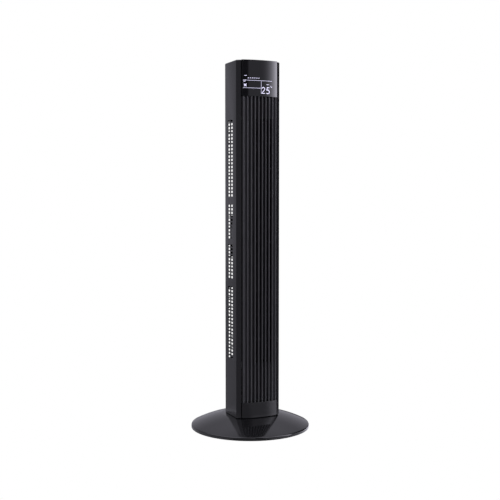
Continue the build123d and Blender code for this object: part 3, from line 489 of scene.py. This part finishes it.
def pan_head(name, radius, height, shank, length):
    """A cross-recessed pan head screw, head up, seat at the origin."""
    segments = 24
    form = bmesh.new()
    profile = [(0.02 * radius, -length), (shank, -length + shank), (shank, 0)]
    profile += [(radius, 0), (radius, 0.45 * height), (0.86 * radius, 0.85 * height), (0.62 * radius, height)]
    rings = [wheel_of(form, ring_radius, z, segments) for ring_radius, z in profile]
    for low, high in zip(rings, rings[1:]):
        sleeve(form, low, high)
    form.faces.new(list(reversed(rings[0])))
    half = 0.11 * radius
    arm = 0.5 * radius
    floor_z = 0.45 * height
    cross = [(arm, -half), (arm, half), (half, half), (half, arm), (-half, arm), (-half, half)]
    cross += [(-arm, half), (-arm, -half), (-half, -half), (-half, -arm), (half, -arm), (half, -half)]
    upper = [form.verts.new((x, y, height)) for x, y in cross]
    lower = [form.verts.new((0.8 * x, 0.8 * y, floor_z)) for x, y in cross]
    for index in range(len(cross)):
        beyond = (index + 1) % len(cross)
        form.faces.new((upper[beyond], upper[index], lower[index], lower[beyond]))
    form.faces.new(lower)
    rim = [edge for edge in form.edges if edge.is_boundary]
    bmesh.ops.triangle_fill(form, use_beauty=True, use_dissolve=False, edges=rim)
    return meshed(name, form)


screw_tree, group_in, group_out = gn_tree("screws_on_points")
screw_part = gn_input(screw_tree, "Screw", "NodeSocketObject")
screw_tilt = gn_input(screw_tree, "Tilt", "NodeSocketFloat", 0.0)
screw_seed = gn_input(screw_tree, "Seed", "NodeSocketInt", 7)
screw_finish = gn_input(screw_tree, "Finish", "NodeSocketMaterial")
part_info = gn_node(screw_tree, "GeometryNodeObjectInfo", inputs={"Object": group_in.outputs["Screw"]})
turn = gn_node(screw_tree, "FunctionNodeRandomValue", {"data_type": "FLOAT"}, {
    "Min": 0.0, "Max": math.pi, "Seed": group_in.outputs["Seed"],
})
random_turn = gn_node(screw_tree, "ShaderNodeCombineXYZ", inputs={"Z": turn.outputs[1]})
tilt = gn_node(screw_tree, "ShaderNodeCombineXYZ", inputs={"X": group_in.outputs["Tilt"]})
tilted = gn_node(screw_tree, "FunctionNodeEulerToRotation", inputs={0: tilt.outputs[0]})
spin = gn_node(screw_tree, "FunctionNodeEulerToRotation", inputs={0: random_turn.outputs[0]})
facing = gn_node(screw_tree, "FunctionNodeRotateRotation", {"rotation_space": "LOCAL"}, {
    0: tilted.outputs[0], 1: spin.outputs[0],
})
placed = gn_node(screw_tree, "GeometryNodeInstanceOnPoints", inputs={
    "Points": group_in.outputs["Geometry"],
    "Instance": part_info.outputs["Geometry"],
    "Rotation": facing.outputs[0],
})
real = gn_node(screw_tree, "GeometryNodeRealizeInstances", inputs={0: placed.outputs[0]})
finished = gn_node(screw_tree, "GeometryNodeSetMaterial", inputs={
    0: real.outputs[0], "Material": group_in.outputs["Finish"],
})
screw_tree.links.new(finished.outputs[0], group_out.inputs[0])


def screws(name, points, tilt_angle, sizes, body, *replaced):
    """One group of like screws at the points, heads turned over by the tilt angle."""
    part = bpy.data.objects.new(name + "_part", pan_head(name + "_part", *sizes))
    guide = bpy.data.meshes.new(name + "_points")
    guide.from_pydata(points, [], [])
    mesh = grown(name, guide, screw_tree, {
        screw_part: part,
        screw_tilt: tilt_angle,
        screw_seed: len(points),
        screw_finish: zinc_steel,
    })
    bpy.data.objects.remove(part)
    return shown(name, mesh, body, "screw_steel", zinc_steel, *replaced)


def ring_points(count, radius, z, first=0.0, centre_y=0.0):
    """Points evenly round a circle."""
    places = []
    for index in range(count):
        angle = first + 2 * math.pi * index / count
        places.append((radius * math.cos(angle), centre_y + radius * math.sin(angle), z))
    return places


head_down = math.pi
head_back = -math.pi / 2
wheel_y = -0.012
foot_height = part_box("base_plate")[0].z
# Each size is the head's radius and height, then the shank's radius and length.
base_size = (0.0032, 0.0016, 0.0016, 0.012)
spindle_size = (0.0032, 0.0018, 0.0015, 0.006)
motor_size = (0.0042, 0.0024, 0.002, 0.014)
post_size = (0.0036, 0.0024, 0.00145, 0.022)
spindle_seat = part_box("spindle_screws")[1].z - spindle_size[1]
motor_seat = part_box("motor_screws")[1].z - motor_size[1]
base_points = ring_points(6, 0.110, foot_height)
spindle_points = ring_points(4, 0.038, spindle_seat, math.pi / 4)
motor_points = ring_points(3, 0.024, motor_seat, math.pi / 2, wheel_y)
screws("base_screw_set", base_points, head_down, base_size, "base", "base_screws")
screws("spindle_screw_set", spindle_points, 0.0, spindle_size, "base", "spindle_screws")
screws("motor_screw_set", motor_points, 0.0, motor_size, "tower", "motor_screws")
post_x = 0.046
post_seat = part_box("housing_screws")[1].y - post_size[1]
post_heights = (0.120, 0.880)
post_points = [(side * post_x, post_seat, z) for side in (-1, 1) for z in post_heights]
screws("housing_screw_set", post_points, head_back, post_size, "tower", "housing_screws")
dress(zinc_steel, "board_screws", "swing_motor_screws")

# ------------------------------------------------------------------ rear housing
# One deep moulding in satin black: flat slotted sides, chamfered front corners, a rounded
# slotted back and a rolled top rim. Four deep tubes take the screws that hold the grille.
def refined(node, name, slot, material, body, edge=0.0003, sharp=32):
    """The node's own shape with its facets joined, so round faces shade round."""
    form = bmesh.new()
    form.from_mesh(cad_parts[node].data)
    bmesh.ops.remove_doubles(form, verts=form.verts, dist=0.000002)
    bmesh.ops.dissolve_limit(form, angle_limit=math.radians(0.5), verts=form.verts, edges=form.edges)
    mesh = bpy.data.meshes.new(name)
    form.to_mesh(mesh)
    form.free()
    smooth(mesh, sharp)
    piece = shown(name, mesh, body, slot, material, node)
    if edge:
        bevel(piece, edge)
    return piece


housing_satin = plastic(
    "housing_satin", (0.0085, 0.0083, 0.0094), 0.20,
    grain=0.0000045, grain_scale=2600, ripple=0.00003, dust=0.03, scuffs=0.10,
)
refined("rear_housing", "rear_housing_moulding", "housing_satin", housing_satin, "tower", 0.00045)

# ------------------------------------------------------------------ handle cup, floor, lid and gland
# Small mouldings in the same satin black: the pocket for the fingers, the floor over the
# swivel, the lid with its key openings and the sleeve for the mains lead.
refined("handle_cup", "handle_pocket", "housing_satin", housing_satin, "tower", 0.0)
refined("top_cap", "top_lid", "housing_satin", housing_satin, "tower", 0.0)
dress(housing_satin, "tower_floor")
gland_black = plastic("gland_black", (0.014, 0.014, 0.014), 0.45, grain=0.000004, dust=0.05)
refined("cord_gland", "lead_gland", "gland_black", gland_black, "tower", 0.0)

# ------------------------------------------------------------------ front grille
# Ten slim upright ribs with rounded noses stand on a closed wall; right of the middle the wall
# is open for the air, and thin guard bars tie the ribs there.
insert_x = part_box("display_lens")[1].x
insert_edge_y = -0.0644
insert_front_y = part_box("display_lens")[0].y
insert_rise = insert_edge_y - insert_front_y
insert_radius = (insert_x**2 + insert_rise**2) / (2 * insert_rise)
insert_centre_y = insert_front_y + insert_radius
grille_low, grille_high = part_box("front_grille")
backing_y = -0.0615
backing_skin = 0.002
outlet_x = (-0.012, 0.042)
outlet_z = (0.187, 0.846)
rib_count = 10
rib_pitch = 0.0104
rib_width = 0.0039
guard_count = 9
guard_pitch = 0.0659
guard_height = 0.0024


def bow_y(x, skin=0.0):
    """Front of the bowed insert at x, or a face `skin` behind it."""
    return insert_centre_y - math.sqrt((insert_radius - skin)**2 - x * x)


def rib_part(name, height):
    """One upright rib, one metre deep, from y = 0 back to its rounded nose at y = -1."""
    nose = 0.0013
    nose_depth = nose / 0.0085
    nose_steps = 6
    half = rib_width / 2
    line = [(half, 0.06), (half, -1 + nose_depth)]
    for step in range(1, nose_steps):
        turn = step / nose_steps * math.pi / 2
        line.append((half - nose * (1 - math.cos(turn)), -1 + nose_depth * (1 - math.sin(turn))))
    line.append((half - nose, -1))
    line += [(-x, y) for x, y in reversed(line)]
    form = bmesh.new()
    low = [form.verts.new((x, y, 0)) for x, y in line]
    high = [form.verts.new((x, y, height)) for x, y in line]
    sleeve(form, low, high)
    form.faces.new(low)
    form.faces.new(high)
    return meshed(name, form)


rib_tree, group_in, group_out = gn_tree("ribs_in_a_bow")
rib_object = gn_input(rib_tree, "Rib", "NodeSocketObject")
rib_number = gn_input(rib_tree, "Count", "NodeSocketInt", rib_count)
rib_spacing = gn_input(rib_tree, "Pitch", "NodeSocketFloat", rib_pitch)
rib_base = gn_input(rib_tree, "Base", "NodeSocketFloat", backing_y)
bow_centre = gn_input(rib_tree, "Bow centre", "NodeSocketFloat", insert_centre_y)
bow_size = gn_input(rib_tree, "Bow radius", "NodeSocketFloat", insert_radius)
rib_foot = gn_input(rib_tree, "Foot", "NodeSocketFloat", grille_low.z)
rib_finish = gn_input(rib_tree, "Finish", "NodeSocketMaterial")


def gn_math(tree, operation, *values):
    """One Math node of a Geometry Nodes tree."""
    return gn_node(tree, "ShaderNodeMath", {"operation": operation}, dict(enumerate(values))).outputs[0]


last_rib = gn_math(rib_tree, "SUBTRACT", group_in.outputs["Count"], 1.0)
whole_span = gn_math(rib_tree, "MULTIPLY", last_rib, group_in.outputs["Pitch"])
first_x = gn_math(rib_tree, "MULTIPLY", whole_span, -0.5)
start = gn_node(rib_tree, "ShaderNodeCombineXYZ", inputs={
    0: first_x, 1: group_in.outputs["Base"], 2: group_in.outputs["Foot"],
})
stride = gn_node(rib_tree, "ShaderNodeCombineXYZ", inputs={0: group_in.outputs["Pitch"]})
row = gn_node(rib_tree, "GeometryNodeMeshLine", {"mode": "OFFSET"}, {
    "Count": group_in.outputs["Count"], "Start Location": start.outputs[0], "Offset": stride.outputs[0],
})
here = gn_node(rib_tree, "GeometryNodeInputPosition")
spot = gn_node(rib_tree, "ShaderNodeSeparateXYZ", inputs={0: here.outputs[0]})
square_x = gn_math(rib_tree, "MULTIPLY", spot.outputs[0], spot.outputs[0])
square_r = gn_math(rib_tree, "MULTIPLY", group_in.outputs["Bow radius"], group_in.outputs["Bow radius"])
reach = gn_math(rib_tree, "SQRT", gn_math(rib_tree, "SUBTRACT", square_r, square_x))
nose_line = gn_math(rib_tree, "SUBTRACT", group_in.outputs["Bow centre"], reach)
depth = gn_math(rib_tree, "SUBTRACT", group_in.outputs["Base"], nose_line)
rib_scale = gn_node(rib_tree, "ShaderNodeCombineXYZ", inputs={0: 1.0, 1: depth, 2: 1.0})
rib_info = gn_node(rib_tree, "GeometryNodeObjectInfo", inputs={"Object": group_in.outputs["Rib"]})
ribs_placed = gn_node(rib_tree, "GeometryNodeInstanceOnPoints", inputs={
    "Points": row.outputs[0], "Instance": rib_info.outputs["Geometry"], "Scale": rib_scale.outputs[0],
})
ribs_real = gn_node(rib_tree, "GeometryNodeRealizeInstances", inputs={0: ribs_placed.outputs[0]})
ribs_set = gn_node(rib_tree, "GeometryNodeSetMaterial", inputs={
    0: ribs_real.outputs[0], "Material": group_in.outputs["Finish"],
})
rib_tree.links.new(ribs_set.outputs[0], group_out.inputs[0])

grille_satin = plastic(
    "grille_satin", (0.036, 0.036, 0.038), 0.30,
    grain=0.000003, grain_scale=2400, ripple=0.0, dust=0.05, scuffs=0.10,
)
rib_model = bpy.data.objects.new("rib_model", rib_part("rib_model", grille_high.z - grille_low.z))
empty_guide = bpy.data.meshes.new("rib_guide")
ribs_mesh = grown("front_ribs", empty_guide, rib_tree, {
    rib_object: rib_model,
    rib_number: rib_count,
    rib_spacing: rib_pitch,
    rib_base: backing_y,
    bow_centre: insert_centre_y,
    bow_size: insert_radius,
    rib_foot: grille_low.z,
    rib_finish: grille_satin,
})
bpy.data.objects.remove(rib_model)
smooth(ribs_mesh, 40)
shown("front_ribs", ribs_mesh, "tower", "grille_satin", grille_satin, "front_grille")


def block(form, low, high):
    """An axis-aligned bar between two corners, added to the bmesh."""
    corners = [(x, y, z) for x in (low[0], high[0]) for y in (low[1], high[1]) for z in (low[2], high[2])]
    verts = [form.verts.new(place) for place in corners]
    for face in ((0, 1, 3, 2), (4, 6, 7, 5), (0, 4, 5, 1), (2, 3, 7, 6), (0, 2, 6, 4), (1, 5, 7, 3)):
        form.faces.new([verts[index] for index in face])


wall_form = bmesh.new()
wall_y = (backing_y, backing_y + backing_skin)
xs = (-insert_x, outlet_x[0], outlet_x[1], insert_x)
zs = (grille_low.z, outlet_z[0], outlet_z[1], grille_high.z)
sheets = []
for y in wall_y:
    sheets.append([[wall_form.verts.new((x, y, z)) for z in zs] for x in xs])
for column in range(3):
    for level in range(3):
        if column == 1 and level == 1:
            continue
        for sheet in sheets:
            wall_form.faces.new((
                sheet[column][level], sheet[column + 1][level],
                sheet[column + 1][level + 1], sheet[column][level + 1],
            ))
front_sheet, back_sheet = sheets
loop_outer = [(0, 0), (1, 0), (2, 0), (3, 0), (3, 1), (3, 2), (3, 3), (2, 3), (1, 3), (0, 3), (0, 2), (0, 1)]
loop_inner = [(1, 1), (2, 1), (2, 2), (1, 2)]
for loop in (loop_outer, loop_inner):
    for (a, b), (c, d) in zip(loop, loop[1:] + loop[:1]):
        wall_form.faces.new((front_sheet[a][b], front_sheet[c][d], back_sheet[c][d], back_sheet[a][b]))
wall_mesh = meshed("grille_wall", wall_form)


def painted_groove_shade(tree, place):
    """Painted shade: the wall's colour stays as it is between the ribs and goes dark at its outer edges, in
    the groove beside the chamfers.
    """
    unshaded_half = 0.0470
    across = tree.add("ShaderNodeSeparateXYZ", inputs={0: place})
    return tree.band(across, -unshaded_half, unshaded_half, 0.0012)


# The wall's outer edges carry painted shade in the groove.
wall_satin = plastic(
    "wall_satin", (0.05, 0.05, 0.053), 0.5, grain=0.000003, grain_scale=2400, dust=0.04, shade=painted_groove_shade,
)
grille_wall = shown("grille_wall", wall_mesh, "tower", "grille_satin", wall_satin)
bevel(grille_wall, 0.0004)

wall_bite = 0.0005
guard_inset = 0.0001
guard_form = bmesh.new()
guard_middle = (outlet_z[0] + outlet_z[1]) / 2
for index in range(guard_count):
    z = guard_middle + (index - (guard_count - 1) / 2) * guard_pitch
    block(
        guard_form,
        (outlet_x[0] - wall_bite, wall_y[0] + guard_inset, z - guard_height / 2),
        (outlet_x[1] + wall_bite, wall_y[1] - guard_inset, z + guard_height / 2),
    )
guards = shown("guard_bars", meshed("guard_bars", guard_form), "tower", "grille_satin", grille_satin)
bevel(guards, 0.0005, 3)


def tube(form, x, z, near_y, far_y):
    """A blind screw tube along Y: open at the far end, with a bored floor at the near end."""
    segments = 32
    outer = 0.004
    inner = 0.0016
    hole = 0.0014
    floor_y = near_y + 0.0015
    stations = [(outer, near_y), (outer, far_y), (inner, far_y)]
    stations += [(inner, floor_y), (hole, floor_y), (hole, near_y)]
    rings = []
    for radius, y in stations:
        ring = []
        for index in range(segments):
            angle = 2 * math.pi * index / segments
            ring.append(form.verts.new((x + radius * math.cos(angle), y, z + radius * math.sin(angle))))
        rings.append(ring)
    for ring, following in zip(rings, rings[1:] + rings[:1]):
        sleeve(form, ring, following)


post_form = bmesh.new()
for side in (-1, 1):
    for z in post_heights:
        tube(post_form, side * post_x, z, wall_y[1] - wall_bite, grille_high.y)
shown("grille_posts", meshed("grille_posts", post_form), "tower", "grille_satin", grille_satin)


# ------------------------------------------------------------------ lens and lower panel
# Two bowed covers with a flange down each side: the lens is polished smoked acrylic over the
# display, the panel at the foot is glossy moulding. Both end in a soft edge.
def bowed_cover(name, low_z, high_z):
    """A cover bowed like the ribs, 2.5 mm thick, with its side flanges."""
    skin = 0.0025
    flange = 0.0022
    flange_depth = 0.0074
    flange_y = insert_edge_y + flange_depth
    steps = 48
    line = []
    for step in range(steps + 1):
        x = -insert_x + 2 * insert_x * step / steps
        line.append((x, bow_y(x)))
    line += [(insert_x, flange_y), (insert_x - flange, flange_y)]
    inner_x = insert_x - flange
    for step in range(steps + 1):
        x = inner_x - 2 * inner_x * step / steps
        line.append((x, bow_y(x, skin)))
    line += [(-inner_x, flange_y), (-insert_x, flange_y)]
    form = bmesh.new()
    low = [form.verts.new((x, y, low_z)) for x, y in line]
    high = [form.verts.new((x, y, high_z)) for x, y in line]
    sleeve(form, low, high)
    for ends in (low, high):
        outer = ends[:steps + 1]
        inner = list(reversed(ends[steps + 3:2 * steps + 4]))
        for index in range(steps):
            form.faces.new((outer[index], outer[index + 1], inner[index + 1], inner[index]))
        form.faces.new((outer[-1], ends[steps + 1], ends[steps + 2], inner[-1]))
        form.faces.new((outer[0], inner[0], ends[-2], ends[-1]))
    return meshed(name, form, 40)


lens_gloss = plastic(
    "lens_gloss", (0.0058, 0.0058, 0.0066), 0.045, ripple=0.000012, dust=0.02, scuffs=0.03,
)
panel_gloss = plastic(
    "panel_gloss", (0.0075, 0.0075, 0.0080), 0.09, ripple=0.00002, dust=0.03, scuffs=0.05,
)
lens_low, lens_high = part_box("display_lens")
window_mesh = bowed_cover("display_window", lens_low.z, lens_high.z)
lens = shown("display_window", window_mesh, "tower", "lens_gloss", lens_gloss, "display_lens")
bevel(lens, 0.0005, 3)
panel_low, panel_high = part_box("lower_panel")
panel_mesh = bowed_cover("foot_panel", panel_low.z, panel_high.z)
panel = shown("foot_panel", panel_mesh, "tower", "panel_gloss", panel_gloss, "lower_panel")
bevel(panel, 0.0005, 3)

# ------------------------------------------------------------------ display figures
# Lamps behind the lens light thin printed windows: a two-figure number, a fan sign,
# ruled lines and small marks, all in one pale lavender white.
figure_lift = 0.00006
figure_skin = 0.00005


def figure(form, points):
    """A thin flat patch that follows the lens, from (x, z) corners in order."""
    front = [form.verts.new((x, bow_y(x) - figure_lift - figure_skin, z)) for x, z in points]
    back = [form.verts.new((x, bow_y(x) - figure_lift, z)) for x, z in points]
    sleeve(form, front, back)
    form.faces.new(front)
    form.faces.new(back)


def bar(form, low_x, high_x, low_z, high_z, steps=1):
    """An upright or level bar of the display, in `steps` pieces across."""
    width = (high_x - low_x) / steps
    for step in range(steps):
        left = low_x + step * width
        right = left + width
        figure(form, [(left, low_z), (right, low_z), (right, high_z), (left, high_z)])


def stroke(form, start, end, width):
    """A straight stroke of even width between two points of the display."""
    along = Vector((end[0] - start[0], end[1] - start[1])).normalized() * width / 2
    across = Vector((-along.y, along.x))
    first = Vector(start) - along
    last = Vector(end) + along
    figure(form, [first - across, last - across, last + across, first + across])


def ribbon(form, points, width):
    """A line of even width through the points, mitred at each bend."""
    line = [Vector(point) for point in points]
    left, right = [], []
    for index, point in enumerate(line):
        before = (point - line[index - 1]).normalized() if index else (line[1] - point).normalized()
        after = (line[index + 1] - point).normalized() if index < len(line) - 1 else before
        across = Vector((-before.y - after.y, before.x + after.x)).normalized()
        reach = width / 2 / max(0.6, across.dot(Vector((-before.y, before.x))))
        left.append(point + across * reach)
        right.append(point - across * reach)
    for index in range(len(line) - 1):
        figure(form, [left[index], left[index + 1], right[index + 1], right[index]])


def number(form, path, left):
    """A figure drawn as one ribbon; its path is given in parts of its width and height."""
    low = 0.9122
    width = 0.0100
    height = 0.0160
    thick = 0.0018
    ribbon(form, [(left + width * across, low + height * up) for across, up in path], thick)


def disc(form, x, z, radius, segments=20):
    """A small round lamp."""
    points = []
    for index in range(segments):
        angle = 2 * math.pi * index / segments
        points.append((x + radius * math.cos(angle), z + radius * math.sin(angle)))
    figure(form, points)


figures = bmesh.new()
half_rule = 0.00035
upper_rule = 0.9456
lower_rule = 0.9257
divider = 0.0014
bar(figures, -0.038, 0.0345, upper_rule - half_rule, upper_rule + half_rule, steps=14)
bar(figures, -0.0486, 0.0005, lower_rule - half_rule, lower_rule + half_rule, steps=10)
bar(figures, divider - half_rule, divider + half_rule, 0.9120, 0.9450)
two = [(0.02, 0.80), (0.16, 0.95), (0.42, 1.0), (0.70, 0.95), (0.84, 0.80), (0.80, 0.62)]
two += [(0.0, 0.03), (0.92, 0.03)]
five = [(0.92, 1.0), (0.24, 1.0), (0.12, 0.57), (0.46, 0.64), (0.78, 0.55), (0.90, 0.33)]
five += [(0.80, 0.10), (0.48, 0.0), (0.02, 0.07)]
number(figures, two, 0.0032)
number(figures, five, 0.0168)
stroke(figures, (0.0298, 0.9328), (0.0328, 0.9292), 0.0013)
bar(figures, 0.0170, 0.0250, 0.9356, 0.9366)
bar(figures, -0.0452, -0.0388, 0.9575, 0.9586)
for step in range(6):
    dash = -0.036 + step * 0.0058
    bar(figures, dash, dash + 0.0032, 0.9512, 0.9526)
fan_x = -0.0428
fan_z = 0.9330
for blade in range(4):
    turn = math.pi / 2 * blade + 0.4
    swept = turn + 0.45
    hub = (fan_x + 0.0010 * math.cos(turn), fan_z + 0.0010 * math.sin(turn))
    tip = (fan_x + 0.0036 * math.cos(swept), fan_z + 0.0036 * math.sin(swept))
    stroke(figures, hub, tip, 0.0019)
disc(figures, fan_x, fan_z, 0.0009)
for step in range(3):
    level = 0.9418 + 0.0022 * step
    stroke(figures, (-0.0475, level), (-0.0395 - 0.0018 * (2 - step), level), 0.0008)
figures_mesh = meshed("display_figures", figures)

lit, lit_tree, lit_shader, lit_place = surface("display_light")
lit_cloud = noise(lit_tree, lit_place, 160, 2)
lit_colour = tint(lit_tree, lit_cloud, (0.62, 0.60, 0.84), (0.86, 0.85, 1.0))
feed(lit_tree, lit_shader, "Base Color", lit_colour)
feed(lit_tree, lit_shader, "Emission Color", lit_colour)
feed(lit_tree, lit_shader, "Emission Strength", 0.85)
feed(lit_tree, lit_shader, "Roughness", 0.1 + 0.05 * lit_cloud)
shown("display_figures", figures_mesh, "tower", "display_light", lit)
mask_white = plastic("mask_white", (0.78, 0.77, 0.80), 0.42, grain=0.000003, dust=0.01)
dress(mask_white, "light_mask")

# ------------------------------------------------------------------ keys
# Five push keys stand in openings of the lid, just below the rim. Each is a semi-gloss moulding
# with a raised grey sign, and goes down one millimetre.
key_gloss = plastic("key_gloss", (0.018, 0.018, 0.019), 0.26, grain=0.000002, dust=0.05, scuffs=0.12)
sign_grey = plastic("sign_grey", (0.36, 0.36, 0.37), 0.4, grain=0.000002, dust=0.05, scuffs=0.1)
sign_depth = 0.0004
sign_rise = 0.0002


def sign_bar(form, x, y, width, depth, top, turn=0.0):
    """A raised bar of a key's sign, turned about its middle."""
    turned = []
    for side_x, side_y in ((-1, -1), (1, -1), (1, 1), (-1, 1)):
        across = side_x * width / 2
        along = side_y * depth / 2
        turned.append((
            x + across * math.cos(turn) - along * math.sin(turn),
            y + across * math.sin(turn) + along * math.cos(turn),
        ))
    low = [form.verts.new((px, py, top - sign_depth)) for px, py in turned]
    high = [form.verts.new((px, py, top)) for px, py in turned]
    sleeve(form, low, high)
    form.faces.new(list(reversed(low)))
    form.faces.new(high)


def sign_ring(form, x, y, radius, width, top, start, end, segments=28):
    """A raised arc of a key's sign, from start to end in radians."""
    tiny = 1e-6
    whole = end - start >= 2 * math.pi - tiny
    stations = []
    for index in range(segments + 1):
        angle = start + (end - start) * index / segments
        ring = []
        for wide, drop in ((0, sign_depth), (width, sign_depth), (width, 0), (0, 0)):
            reach_x = (radius + wide) * math.cos(angle)
            reach_y = (radius + wide) * math.sin(angle)
            ring.append(form.verts.new((x + reach_x, y + reach_y, top - drop)))
        stations.append(ring)
    for near, far in zip(stations, stations[1:]):
        sleeve(form, near, far)
    if whole:
        bmesh.ops.remove_doubles(form, verts=form.verts, dist=tiny)
    else:
        form.faces.new(stations[0])
        form.faces.new(list(reversed(stations[-1])))


def power_sign(form, x, y, top):
    """A broken ring with an upright bar."""
    sign_ring(form, x, y, 0.0014, 0.0004, top, math.radians(125), math.radians(415))
    sign_bar(form, x, y + 0.0014, 0.0004, 0.0016, top)


def speed_sign(form, x, y, top):
    """Three blades round a hub."""
    for blade in range(3):
        turn = 2 * math.pi * blade / 3 + math.pi / 2
        blade_x = x + 0.0011 * math.cos(turn)
        blade_y = y + 0.0011 * math.sin(turn)
        sign_bar(form, blade_x, blade_y, 0.0016, 0.0008, top, turn + 0.5)


def mode_sign(form, x, y, top):
    """Three level waves drawn as bars."""
    for step in range(3):
        sign_bar(form, x, y + (step - 1) * 0.0011, 0.0036 - 0.0006 * abs(step - 1), 0.0004, top)


def timer_sign(form, x, y, top):
    """A clock face with two hands."""
    sign_ring(form, x, y, 0.0014, 0.0004, top, 0, 2 * math.pi)
    sign_bar(form, x, y + 0.0005, 0.0003, 0.0010, top)
    sign_bar(form, x + 0.0004, y, 0.0008, 0.0003, top)


def swing_sign(form, x, y, top):
    """An arc with a bar at each end."""
    sign_ring(form, x, y - 0.0008, 0.0018, 0.0004, top, math.radians(30), math.radians(150))
    for side in (-1, 1):
        sign_bar(form, x + side * 0.0017, y + 0.0001, 0.0010, 0.0004, top, side * 0.8)


key_signs = {
    "key_power": power_sign,
    "key_speed": speed_sign,
    "key_mode": mode_sign,
    "key_timer": timer_sign,
    "key_swing": swing_sign,
}
for key, draw in key_signs.items():
    refined(key, key + "_cap", "key_gloss", key_gloss, key, 0.0)
    key_low, key_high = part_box(key)
    sign_form = bmesh.new()
    draw(sign_form, (key_low.x + key_high.x) / 2, (key_low.y + key_high.y) / 2, key_high.z + sign_rise)
    shown(key + "_sign", meshed(key + "_sign", sign_form), key, "key_gloss", sign_grey)

# ------------------------------------------------------------------ boards
# Glass-fibre boards under green solder mask, with copper tracks showing through,
# and moulded black key switches.
board, board_tree, board_shader, board_place = surface("board_green")
cells = board_tree.add("ShaderNodeTexVoronoi", {"feature": "DISTANCE_TO_EDGE"}, {
    "Vector": board_place, "Scale": 260,
})
tracks = board_tree.add("ShaderNodeMapRange", inputs={0: cells, 1: 0.03, 2: 0.06, 3: 1.0, 4: 0.0})
mask_green = tint(board_tree, tracks, (0.012, 0.09, 0.035), (0.03, 0.20, 0.08))
feed(board_tree, board_shader, "Base Color", mask_green)
feed(board_tree, board_shader, "Roughness", 0.3 + 0.1 * noise(board_tree, board_place, 300))
feed(board_tree, board_shader, "Normal", relief(board_tree, 0.00003 * tracks))
dress(board, "control_board", "display_board")
switch_black = plastic("switch_black", (0.016, 0.016, 0.016), 0.45, grain=0.000004)
dress(switch_black, "key_switches")

# ------------------------------------------------------------------ air duct and fan wheel
# The duct walls are thin matt black mouldings. The wheel is a long drum of glass-filled
# plastic blades between rings, on an aluminium boss, with a film of house dust.
duct_black = plastic("duct_black", (0.005, 0.005, 0.005), 0.62, grain=0.000006, grain_scale=1600, dust=0.03)
dress(duct_black, "air_scroll", "air_tongue", "lower_end_plate", "upper_end_plate")
wheel_grey = plastic("wheel_grey", (0.010, 0.010, 0.011), 0.5, grain=0.000006, grain_scale=1800, dust=0.08)
dress(wheel_grey, "fan_wheel")
aluminium = metal("hub_aluminium", (0.66, 0.66, 0.68), 0.36, 240, (1, 1, 10))
dress(aluminium, "wheel_hub")
bronze = metal("sintered_bronze", (0.52, 0.34, 0.17), 0.5, 1500, bump=0.00002, stain=0.3)
dress(bronze, "upper_bearing", "motor_bushes")

# ------------------------------------------------------------------ motors
# Two deep-drawn zinc-plated cans close a laminated stack wound with enamelled wire;
# a film capacitor stands beside them and a flat geared motor turns the pinion.
drawn_steel = metal("drawn_steel", (0.50, 0.51, 0.52), 0.38, 300, (1, 1, 0.2), stain=0.2)
dress(drawn_steel, "motor_can_lower", "motor_can_upper", "swing_motor")


def layered(name, colour, gap_colour, roughness, pitch, metallic, axis="Z"):
    """Stacked sheets or wound wire: fine even ridges of the given pitch."""
    material, tree, shader, place = surface(name)
    settings = {"wave_type": "BANDS", "bands_direction": axis, "wave_profile": "SIN"}
    ridges = tree.add("ShaderNodeTexWave", settings, {
        "Vector": place, "Scale": 0.314 / pitch, "Distortion": 0.4, "Detail": 2.0,
    })
    cloud = noise(tree, place, 70, 3)
    feed(tree, shader, "Base Color", tint(tree, 0.7 * ridges + 0.3 * cloud, gap_colour, colour))
    feed(tree, shader, "Metallic", metallic)
    feed(tree, shader, "Roughness", roughness + 0.15 * (1 - ridges))
    feed(tree, shader, "Normal", relief(tree, 0.2 * pitch * ridges))
    return material


core_steel = layered("core_steel", (0.30, 0.30, 0.31), (0.10, 0.10, 0.10), 0.4, 0.0005, 1.0)
copper = layered("wound_copper", (0.55, 0.22, 0.09), (0.20, 0.07, 0.03), 0.3, 0.0006, 0.6)
dress(core_steel, "stator_core", "motor_rotor")
dress(copper, "stator_windings")
capacitor_grey = plastic("capacitor_grey", (0.20, 0.21, 0.23), 0.42, grain=0.000003)
dress(capacitor_grey, "run_capacitor")
